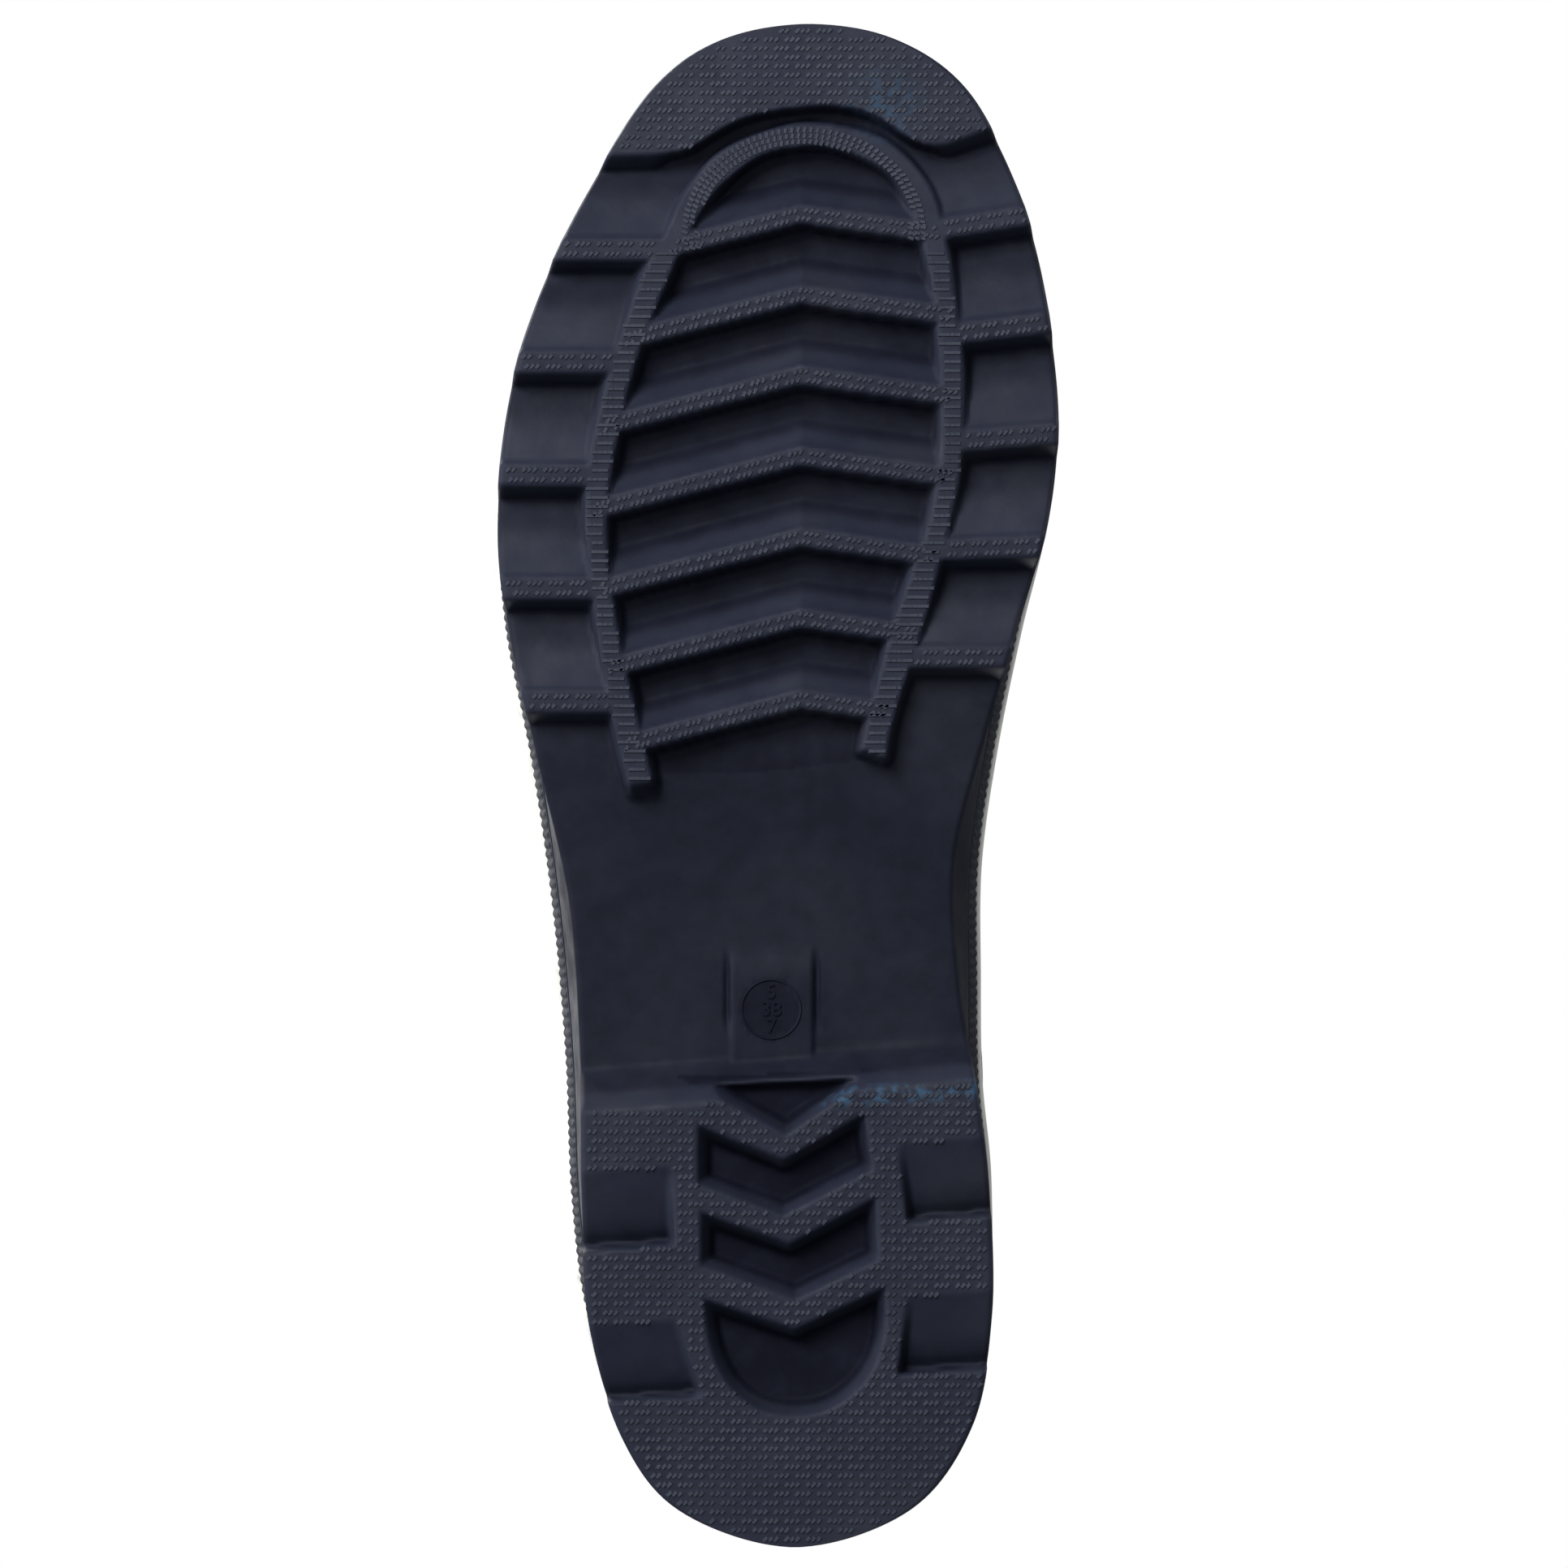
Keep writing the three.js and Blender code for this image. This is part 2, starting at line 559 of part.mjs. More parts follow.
const rubber = (places, levels) => panel(places, levels, -rubberThickness, 0);
const overlay = (places, levels) => panel(places, levels, gap, gap + overlayThickness);
const stiffenerOuter = rubberThickness + gap;
const stiffener = (places, levels) => panel(
  places, levels, -stiffenerOuter - stiffenerThickness, -stiffenerOuter);

// The lining lies against the rubber, and steps in where a stiffener is between them.
function liningDepth(j, k) {
  const fromHeel = Math.min(k, around - k);
  const stiff = (fromHeel <= 7 && j < counterRow + 1) || (fromHeel >= half - 6 && j < capRow + 1);
  return rubberThickness + gap + (stiff ? stiffenerThickness + gap : 0);
}

// Round patch over the ankle bone: rings on the surface, from the rim to the middle.
function anklePatch(k, j) {
  const spokes = 16;
  const across = onUpper(j, k + 0.5, 0).sub(onUpper(j, k - 0.5, 0));
  const up = onUpper(j + 0.5, k, 0).sub(onUpper(j - 0.5, k, 0));
  const twist = across.y * up.z - across.z * up.y;
  const disc = (share, out) => range(spokes).map((i) => {
    const y = patchRadius * share * Math.cos(2 * Math.PI * i / spokes);
    const z = patchRadius * share * Math.sin(2 * Math.PI * i / spokes);
    return onUpper(j + (across.y * z - across.z * y) / twist, k + (y * up.z - z * up.y) / twist, out);
  });
  const low = 2 * gap;
  const high = low + overlayThickness;
  const rings = [0.35, 0.7, 1].map((share) => disc(share, low));
  return loft([...rings, ...[0.9, 0.65, 0.35].map((share) => disc(share, high))], { tips: true });
}

// Ledge on the heel that the other foot holds to pull the boot off.
function kickSpur() {
  const inner = 2 * gap + overlayThickness;
  const ledge = (k) => 3.4 * (1 - (k / 2.6) ** 2) + 0.6;
  const section = (k) => [
    [3.4, inner], [4, inner], [4.4, inner],
    [4.4, inner + 0.6], [3.8, inner + ledge(k)], [3.4, inner + ledge(k)],
  ].map(([j, out]) => onUpper(j, k, out));
  return loft([-2.4, -2, -1, 0, 1, 2, 2.4].map(section));
}

// Binding folded over the top edge, down the outside and the inside.
function topBand() {
  const inside = rubberThickness + liningThickness + 2 * gap;
  const lip = 1.2;
  const reach = (share) => rise - (rise - bandRow) * share;
  const raised = (j, out, up) => range(around).map((k) => onUpper(j, k, out).add(V(0, 0, up)));
  return loft([
    raised(reach(1), gap, 0), raised(reach(1), gap + lip, 0), raised(rise, gap + lip, gap + 0.6),
    raised(rise, 0, gap + 1.6), raised(rise, -inside, gap + 1.6),
    raised(rise, -inside - lip, gap + 0.6), raised(reach(0.7), -inside - lip, 0),
    raised(reach(0.7), -inside, 0), raised(rise, -inside, gap), raised(rise, gap, gap),
  ], { cyclic: true });
}

// ---- Pull loop ----
// Webbing folded double: the ends are held on the back of the binding, and the loop stands up
// from a fold that lets it swing in over the opening or out behind the leg.
const loopBack = onUpper(rise, 0, gap + 1.2).y + gap;
const foldY = loopBack + webbing;
const foldZ = bootHeight - topSlope + 2.2 + webbing;

function acrossLoop(outline, hole, width) {
  const shape = new THREE.Shape(outline.map(([y, z]) => new THREE.Vector2(y, z)));
  if (hole) shape.holes = [new THREE.Path(hole.map(([y, z]) => new THREE.Vector2(y, z)))];
  const geometry = new THREE.ExtrudeGeometry(shape, { depth: width, bevelEnabled: false });
  geometry.applyMatrix4(new THREE.Matrix4().set(
    0, 0, 1, -width / 2, 1, 0, 0, foldY, 0, 1, 0, foldZ, 0, 0, 0, 1));
  return fromSolid(solid(geometry));
}

// A drop: straight sides that open from a round foot on the fold line to a round top.
function drop(shrink, foot) {
  const radius = loopDepth / 2 - shrink;
  const centre = loopHeight - loopDepth / 2;
  const arc = (middle, r, from, to, steps) => range(steps + 1).map((i) => {
    const angle = Math.PI * mix(from, to, i / steps);
    return [r * Math.cos(angle), middle + r * Math.sin(angle)];
  });
  const top = arc(centre, radius, -0.06, 1.06, 8);
  return foot ? [...top, ...arc(0, foot, 1, 2, 6)] : [...top, [0, 2.5 * webbing]];
}

function pullLoop() {
  return acrossLoop(drop(0, webbing), drop(webbing, 0), loopWidth);
}

function loopEnds() {
  const top = -webbing - gap;
  const foot = 1 - bandHeight;
  return acrossLoop([[-webbing, top], [-webbing, foot], [webbing, foot], [webbing, top]], null, loopWidth);
}

function loopAnchor() {
  const from = webbing + gap;
  const foot = -1 - bandHeight;
  const outline = [[from, -4], [from, foot], [from + 1.3, foot], [from + 1.3, -5.5], [from + 0.6, -4]];
  return acrossLoop(outline, null, loopWidth + 6);
}

// ---- Assembly ----
// The toe is curled up, and the whole is centred on its widest points.
const middleX = (Math.min(...edge.map((p) => p.x)) + Math.max(...edge.map((p) => p.x))) / 2;
function settle(geometry) {
  const p = geometry.attributes.position;
  for (const i of range(p.count)) p.setZ(i, p.getZ(i) + lift(p.getY(i)));
  return geometry.translate(-middleX, 0, 0);
}

const looks = {
  navyRubber: { color: 0x333845, roughness: 0.62 },
  navyGloss: { color: 0x2a3048, roughness: 0.4 },
  paleRubber: { color: 0xebebe4, roughness: 0.55 },
  filler: { color: 0x6e5b44, roughness: 0.9 },
  steel: { color: 0x9a9da0, roughness: 0.35, metalness: 0.9 },
  board: { color: 0xa98f6c, roughness: 0.9 },
  foam: { color: 0x454b59, roughness: 0.95 },
  knit: { color: 0xb9bdc4, roughness: 1 },
  webbing: { color: 0x222a44, roughness: 0.9 },
};

const group = new THREE.Group();
function addPiece(name, geometry, look) {
  const material = new THREE.MeshStandardMaterial({ metalness: 0, ...looks[look] });
  const mesh = new THREE.Mesh(settle(geometry), material);
  mesh.name = name;
  group.add(mesh);
}

const slices = range(6).map((i) => springLength - soleLength / 2 - (i + 0.5) * springLength / 6);
addPiece('outsole', sliceAcross(outsole(), slices), 'navyRubber');
addPiece('heel_filler', heelFiller(), 'filler');
addPiece('midsole_filler', midsoleFiller(), 'filler');
addPiece('shank', shank(), 'steel');
addPiece('insole_board', layer(boardInset, fillerTop + gap, boardTop), 'board');
addPiece('footbed', layer(boardInset + 1, boardTop + gap, boardTop + gap + footbedThickness), 'foam');
addPiece('foxing_band', foxingBand(), 'navyRubber');
addPiece('foxing_stripe', foxingStripe(), 'paleRubber');
addPiece('vamp', rubber([9, around - 9], [0, legRowStart]), 'navyGloss');
addPiece('heel_quarter', rubber([-9, 9], [0, legRowStart]), 'navyGloss');
addPiece('leg_lateral', rubber([0, half], [legRowStart, rise]), 'navyGloss');
addPiece('leg_medial', rubber([half, around], [legRowStart, rise]), 'navyGloss');
addPiece('toe_cap', overlay([half - 5, half + 5], [bandsTop, capRow]), 'navyGloss');
addPiece('heel_counter', overlay([-6, 6], [bandsTop, counterRow]), 'navyGloss');
addPiece('back_strip', overlay([-0.9, 0.9], [counterRow, stripeFoot]), 'navyGloss');
addPiece('front_strip', overlay([half - 0.9, half + 0.9], [10, stripeFoot]), 'navyGloss');
addPiece('top_stripe', sleeve([stripeFoot, stripeHead], () => -gap - stripeProud, stripeProud), 'paleRubber');
addPiece('toe_puff', stiffener([half - 6, half + 6], [0, capRow]), 'board');
addPiece('heel_stiffener', stiffener([-7, 7], [0, counterRow]), 'board');
addPiece('foot_lining', sleeve([0, legRowStart], liningDepth, liningThickness), 'knit');
addPiece('leg_lining', sleeve([legRowStart, rise], liningDepth, liningThickness), 'knit');
addPiece('ankle_patch_lateral', anklePatch(7.2, 8.6), 'navyGloss');
addPiece('ankle_patch_medial', anklePatch(around - 7.2, 8.6), 'navyGloss');
addPiece('kick_spur', kickSpur(), 'navyGloss');
addPiece('top_band', topBand(), 'navyGloss');
addPiece('pull_loop', pullLoop(), 'webbing');
addPiece('pull_loop_ends', loopEnds(), 'webbing');
addPiece('loop_anchor', loopAnchor(), 'navyGloss');

export default group;
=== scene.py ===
# %% [markdown]
# # A short pull-on deck boot, seen from below
# The boot is rubber throughout: a moulded outsole, two bands around its edge, sheets of rubber
# laid over a knitted sock, and a binding with a pull loop at the top. The mechanical model is
# loaded first and never moved. Every soft or moulded piece is then drawn again here as a fine
# surface, worked out with whole numpy arrays, and hung on the body that carries it.

import bmesh
import bpy
import numpy as np
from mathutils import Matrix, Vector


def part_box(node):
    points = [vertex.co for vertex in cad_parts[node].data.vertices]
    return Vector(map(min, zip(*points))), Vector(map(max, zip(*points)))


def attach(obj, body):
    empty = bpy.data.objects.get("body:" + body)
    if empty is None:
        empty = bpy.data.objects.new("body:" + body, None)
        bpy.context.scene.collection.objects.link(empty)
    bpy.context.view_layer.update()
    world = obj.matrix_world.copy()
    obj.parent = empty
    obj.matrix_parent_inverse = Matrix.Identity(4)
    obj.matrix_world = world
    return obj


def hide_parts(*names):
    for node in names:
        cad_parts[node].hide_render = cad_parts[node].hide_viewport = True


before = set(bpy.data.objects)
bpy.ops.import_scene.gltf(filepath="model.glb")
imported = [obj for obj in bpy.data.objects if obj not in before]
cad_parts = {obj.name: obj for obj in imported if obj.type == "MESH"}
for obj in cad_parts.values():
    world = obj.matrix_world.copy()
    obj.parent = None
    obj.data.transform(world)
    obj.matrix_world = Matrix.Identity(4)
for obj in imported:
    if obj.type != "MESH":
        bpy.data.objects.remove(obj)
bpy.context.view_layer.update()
MM = 1000.0                     # the surfaces are worked out in millimetres
BOOT, LOOP = "boot", "loop"     # the two bodies

# %% [markdown]
# ## Camera
# The boot is looked at from straight below, with the toe at the top of the frame and the inner
# side of the foot on the right. A long lens keeps the sides of the boot behind its sole.

# %% Camera below the sole
CAMERA_DROP = 1.35              # metres below the tread
FRAME_WIDTH = 0.2700            # metres across the frame at the tread
AIM = (0.00145, 0.0)

camera_data = bpy.data.cameras.new("camera")
camera_data.sensor_width = 36.0
camera_data.lens = camera_data.sensor_width * CAMERA_DROP / FRAME_WIDTH
camera_data.clip_start, camera_data.clip_end = 0.05, 20.0
camera = bpy.data.objects.new("camera", camera_data)
camera.location = (*AIM, -CAMERA_DROP)
camera.rotation_euler = (np.pi, 0.0, 0.0)
bpy.context.collection.objects.link(camera)
bpy.context.scene.camera = camera
print("lens", round(camera_data.lens, 1), "mm")

# %% [markdown]
# ## Sizes
# The overall sizes are read off the loaded model. The rest are the thicknesses and heights that
# the boot's layers are built with, in millimetres.

# %% Sizes
def extent(node):
    """Lowest and highest corner of a node, in millimetres."""
    low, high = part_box(node)
    return np.array(low) * MM, np.array(high) * MM


stripe_low, stripe_high = extent("foxing_stripe")
sole_length = stripe_high[1] - stripe_low[1]
boot_height = round(extent("leg_lateral")[1][2])
half_length = sole_length / 2

sole_thickness, heel_rise = 10.0, 10.0
toe_spring, spring_length = 8.0, 62.0
tread_depth, arch_height, size_tab = 5.0, 8.0, 0.7
foxing_height, stripe_height = 13.0, 5.0
sole_edge_inset, foxing_lean, upper_inset = 2.6, 2.0, 4.2
rubber, overlay, lining = 1.8, 1.5, 1.4
instep_height, toe_height, top_slope = 102.0, 33.0, 8.0
leg_width, leg_depth, ankle_width = 79.0, 121.0, 70.0
band_height, top_stripe_height, top_stripe_drop = 13.0, 6.0, 7.0
gap = 0.3
print("sole", round(sole_length, 1), "mm long, boot", boot_height, "mm high")

# %% [markdown]
# ## Small helpers
# Three pieces of arithmetic are used all through: a smooth step, a curve through given points,
# and the sole's rise from forefoot to heel. `settle` puts a finished shape in its place: it curls
# the toe up off the ground and centres the boot.

# %% Arithmetic
def smooth(t):
    """Smooth step: 3t^2 - 2t^3, held at 0 and 1 outside the unit range."""
    t = np.clip(t, 0.0, 1.0)
    return t * t * (3.0 - 2.0 * t)


def mix(a, b, t):
    """a at t = 0 and b at t = 1."""
    return a + (b - a) * t


def catmull(knots, t, closed=False):
    """Uniform Catmull-Rom curve. Between knots p1 and p2, with p0 before and p3 after and w from
    0 to 1: half of 2 p1 + (p2 - p0) w + (2 p0 - 5 p1 + 4 p2 - p3) w^2 + (3 p1 - p0 - 3 p2 + p3) w^3."""
    count = len(knots)
    i = np.clip(np.floor(t).astype(int), 0, count - (1 if closed else 2))
    w = (t - i).reshape(-1, *[1] * (knots.ndim - 1))
    if closed:
        p0, p1, p2, p3 = (knots[(i + s) % count] for s in (-1, 0, 1, 2))
    else:
        before = 2 * knots[:1] - knots[1:2]
        after = 2 * knots[-1:] - knots[-2:-1]
        ends = np.concatenate([before, knots, after])
        p0, p1, p2, p3 = (ends[i + s] for s in range(4))
    return 0.5 * (2 * p1 + (p2 - p0) * w + (2 * p0 - 5 * p1 + 4 * p2 - p3) * w**2
                  + (3 * p1 - p0 - 3 * p2 + p3) * w**3)


def sole_top(y):
    """Top of the outsole: level under the forefoot, then a smooth rise to the heel seat."""
    return sole_thickness + heel_rise * smooth((y + 35.0) / 90.0)


def lift(y):
    """Toe spring: a parabola that starts spring_length behind the toe's tip."""
    return toe_spring * np.maximum(0.0, (spring_length - half_length - y) / spring_length) ** 2


# %% [markdown]
# ## Edge of the sole
# Everything on the boot follows the outline of its sole. The outline is one closed curve through listed
# points, from the middle of the heel round the outer side to the toe and back along the inner side.
# Each point also says how far the tread's own edge lies inside the outline. The curve is read by
# length, so that u = 0 is the heel, u = 0.5 the toe, and both sides are shared evenly.

# %% Outline of the sole
OUTER_EDGE = [
    (3, 132, 0.5), (-17, 126, 0.6), (-27.8, 113, 0.9), (-34.6, 93, 1.9), (-37.3, 72, 3.4),
    (-38.3, 48, 4), (-40.6, 21, 4.4), (-44.1, -4, 2.4), (-48.5, -27, 1.8), (-49.5, -45, 1),
    (-47, -66, 0.4), (-41.8, -84, 0.3), (-33.5, -102, 0.3), (-22.4, -120, 0.3), (-10.5, -129, 0.3),
]
INNER_EDGE = [
    (5, -132, 0.3), (20.5, -129.3, 0.3), (33.2, -120, 0.3), (42.1, -102, 0.3), (46.6, -84, 0.3),
    (48.7, -63, 0.3), (47.1, -45, 0.5), (42.7, -26.5, 1.4), (38.6, -6, 3.2), (35.9, 14, 5.3),
    (35.8, 34, 4.3), (36.1, 52, 1.8), (37.7, 70, 1.2), (37.4, 92, 0.5), (33.9, 111, 0.5),
    (23, 125.6, 0.5),
]
edge_knots = np.array(OUTER_EDGE + INNER_EDGE, float)


def length_table(start, end, first_u):
    """(u, curve parameter) along one side, spaced by the length of the curve."""
    t = np.linspace(start, end, 4001)
    points = catmull(edge_knots, t, closed=True)[:, :2]
    run = np.concatenate([[0.0], np.cumsum(np.linalg.norm(np.diff(points, axis=0), axis=1))])
    return first_u + 0.5 * run / run[-1], t


outer_u, outer_t = length_table(0, len(OUTER_EDGE), 0.0)
inner_u, inner_t = length_table(len(OUTER_EDGE), len(edge_knots), 0.5)
table_u = np.concatenate([outer_u, inner_u[1:]])
table_t = np.concatenate([outer_t, inner_t[1:]])


def edge(u):
    """x, y and tread inset of the sole's outline at u."""
    return catmull(edge_knots, np.interp(u % 1.0, table_u, table_t), closed=True)


def inward(u):
    """Unit vector at u that points in from the outline, square to it."""
    along = edge(u + 0.002) - edge(u - 0.002)
    across = np.stack([-along[:, 1], along[:, 0]], axis=1)
    return across / np.linalg.norm(across, axis=1, keepdims=True)


def inside(u, inset, up):
    """Ring of points that lie an inset inside the outline, up above the top of the outsole."""
    p = edge(u)
    flat = p[:, :2] + inward(u) * np.reshape(inset, (-1, 1))
    return np.column_stack([flat, sole_top(p[:, 1]) + up])


outline = edge(np.linspace(0, 1, 2001))
middle_x = (outline[:, 0].min() + outline[:, 0].max()) / 2


def settle(points):
    """Curls the toe up and centres the boot: z + lift(y), x - middle."""
    moved = points.copy()
    moved[..., 2] += lift(points[..., 1])
    moved[..., 0] -= middle_x
    return moved


print("outline", np.ptp(outline[:, :2], axis=0).round(1), "mm")

# %% [markdown]
# ## From grids to closed pieces
# Each piece is made of one or more grids of points whose borders meet exactly. `closed_piece`
# joins them: equal points become one, squares that have shrunk to a line go, and the faces are
# turned outwards. Texture coordinates are kept for each corner of a face, so a pattern doesn't
# smear where a ring meets itself.

# %% Grids of points
WELDS_PER_MM = 2000             # points closer than half a micrometre become one


def grid_faces(rows, columns):
    """The squares of a grid of points, as four point numbers each."""
    n = np.arange(rows * columns).reshape(rows, columns)
    return np.stack([n[:-1, :-1], n[:-1, 1:], n[1:, 1:], n[1:, :-1]], axis=-1).reshape(-1, 4)


def lattice(a, b):
    """Texture coordinates for a grid: b across and a up."""
    across, up = np.meshgrid(b, a)
    return np.stack([across, up], axis=-1)


def joined(grids):
    """Points, faces and texture coordinates of several grids, with equal points made one."""
    points, faces, coords, start = [], [], [], 0
    for shape, uv in grids:
        faces.append(grid_faces(*shape.shape[:2]) + start)
        points.append(shape.reshape(-1, 3))
        coords.append(uv.reshape(-1, 2))
        start += len(points[-1])
    points, faces, coords = map(np.concatenate, (points, faces, coords))
    keys = np.round(points * WELDS_PER_MM).astype(np.int64)
    _, first, number = np.unique(keys, axis=0, return_index=True, return_inverse=True)
    number = number.reshape(-1)
    corners = number[faces]
    same = corners == np.roll(corners, -1, axis=1)
    whole = ~same.any(axis=1)
    squares = [(list(f), list(c)) for f, c in zip(corners[whole].tolist(), faces[whole].tolist())]
    for face, source, drop in zip(corners[~whole], faces[~whole], same[~whole]):
        if drop.sum() == 1:
            squares.append((face[~drop].tolist(), source[~drop].tolist()))
    squares = [s for s in squares if len(set(s[0])) == len(s[0])]
    uv = coords[np.concatenate([s[1] for s in squares])]
    return points[first], [s[0] for s in squares], uv


# %% One closed piece
def closed_piece(name, grids, finish, nodes=(), body=BOOT, settled=True):
    """One object from grids in millimetres. It rides on a body and stands for the nodes given."""
    points, faces, uv = joined(grids)
    points = settle(points) if settled else points
    mesh = bpy.data.meshes.new(name)
    mesh.from_pydata(points / MM, [], faces)
    mesh.uv_layers.new(name="UVMap").data.foreach_set("uv", uv.ravel())
    turned = bmesh.new()
    turned.from_mesh(mesh)
    bmesh.ops.recalc_face_normals(turned, faces=turned.faces)
    open_edges = sum(not e.is_manifold for e in turned.edges)
    turned.to_mesh(mesh)
    turned.free()
    mesh.polygons.foreach_set("use_smooth", np.ones(len(mesh.polygons), bool))
    mesh.materials.append(finish)
    piece = bpy.data.objects.new(name, mesh)
    bpy.context.collection.objects.link(piece)
    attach(piece, body)
    if nodes:
        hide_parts(*nodes)
    print(f"{name}: {len(faces)} faces, {open_edges} open edges")
    return piece


# %% [markdown]
# ## Finishes
# The boot is nearly all rubber, so the differences lie in how each kind was made. The outsole comes
# dull out of its mould and has picked up dust on its high spots, and its deep floors are painted darker
# as shade; the sheets of the upper were varnished before they were cured, and the pale bands show every
# rub. The cloths are painted darker in the hollows of their weave, as shade. Each finish is a small
# tree of nodes on object coordinates in metres, or on the piece's own texture coordinates in
# millimetres where a weave has to follow the cloth.

# %% A node tree with short names
class Finish:
    """Builds one material: a principled shader with its colour, roughness and bump worked out."""

    def __init__(self, name, roughness=0.6, specular=0.3, metallic=0.0, sheen=0.0, coat=0.0):
        self.material = bpy.data.materials.new(name)
        self.material.use_nodes = True
        self.nodes, self.links = self.material.node_tree.nodes, self.material.node_tree.links
        self.shader = self.nodes["Principled BSDF"]
        values = {"Roughness": roughness, "Specular IOR Level": specular, "Metallic": metallic,
                  "Sheen Weight": sheen, "Coat Weight": coat, "Coat Roughness": 0.25}
        for key, value in values.items():
            self.shader.inputs[key].default_value = value
        self.specular = self.shader.inputs["Specular IOR Level"]
        place = self.nodes.new("ShaderNodeTexCoord")
        self.object, self.uv = place.outputs["Object"], place.outputs["UV"]
        self.last_bump = None

    def feed(self, socket, value):
        """Sets a socket to a value, or links another socket to it."""
        if isinstance(value, bpy.types.NodeSocket):
            self.links.new(value, socket)
        elif hasattr(socket.default_value, "__len__") and len(socket.default_value) == 4:
            socket.default_value = (*value, 1.0) if len(value) == 3 else value
        else:
            socket.default_value = value

    def noise(self, size, detail=2.0, vector=None):
        """Noise whose blobs are about size metres across, from 0 to 1."""
        node = self.nodes.new("ShaderNodeTexNoise")
        node.inputs["Scale"].default_value = 1.0 / size
        node.inputs["Detail"].default_value = detail
        self.feed(node.inputs["Vector"], vector or self.object)
        return node.outputs["Fac"]

    def cells(self, size, vector=None):
        """Distance to the nearest of many scattered points about size metres apart."""
        node = self.nodes.new("ShaderNodeTexVoronoi")
        node.inputs["Scale"].default_value = 1.0 / size
        self.feed(node.inputs["Vector"], vector or self.object)
        return node.outputs["Distance"]

    def math(self, operation, a, b=0.0):
        """One sum of one or two values."""
        node = self.nodes.new("ShaderNodeMath")
        node.operation = operation
        self.feed(node.inputs[0], a)
        self.feed(node.inputs[1], b)
        return node.outputs[0]

    def limits(self, value, low, high, to_low=0.0, to_high=1.0):
        """Stretches value from low..high to to_low..to_high, and holds it there."""
        node = self.nodes.new("ShaderNodeMapRange")
        for key, number in zip(("Value", "From Min", "From Max", "To Min", "To Max"),
                               (value, low, high, to_low, to_high)):
            self.feed(node.inputs[key], number)
        return node.outputs["Result"]

    def blend(self, share, a, b):
        """Colour a where share is 0, colour b where it is 1."""
        node = self.nodes.new("ShaderNodeMix")
        node.data_type = "RGBA"
        self.feed(node.inputs["Factor"], share)
        colour_a, colour_b = node.inputs[6], node.inputs[7]
        self.feed(colour_a, a)
        self.feed(colour_b, b)
        return node.outputs[2]

    def axis(self, which, vector=None):
        """One coordinate of a position."""
        node = self.nodes.new("ShaderNodeSeparateXYZ")
        self.feed(node.inputs[0], vector or self.object)
        return node.outputs[which]

    def near(self, place, radius):
        """1 at a place, given in metres, falling to 0 at radius."""
        node = self.nodes.new("ShaderNodeVectorMath")
        node.operation = "DISTANCE"
        self.feed(node.inputs[0], self.object)
        node.inputs[1].default_value = place
        return self.limits(node.outputs["Value"], 0.0, radius, 1.0, 0.0)

    def attribute(self, name):
        """A number that each point of the piece carries."""
        node = self.nodes.new("ShaderNodeAttribute")
        node.attribute_name = name
        return node.outputs["Fac"]

    def bump(self, height, depth):
        """Lifts the surface by height times depth metres. Bumps stack."""
        node = self.nodes.new("ShaderNodeBump")
        node.inputs["Distance"].default_value = depth
        self.feed(node.inputs["Height"], height)
        if self.last_bump:
            self.links.new(self.last_bump, node.inputs["Normal"])
        self.last_bump = node.outputs["Normal"]
        self.feed(self.shader.inputs["Normal"], self.last_bump)

    def colour(self, value):
        """Gives the shader its colour."""
        self.feed(self.shader.inputs["Base Color"], value)

    def roughness(self, value):
        """Gives the shader its roughness."""
        self.feed(self.shader.inputs["Roughness"], value)


# %% Outsole rubber
TOE_SCUFF = (0.0190, -0.1175, 0.004)    # a round rub on the toe pad, in metres
HEEL_SCUFF_Y, HEEL_SCUFF_SLOPE = 0.0546, 0.06


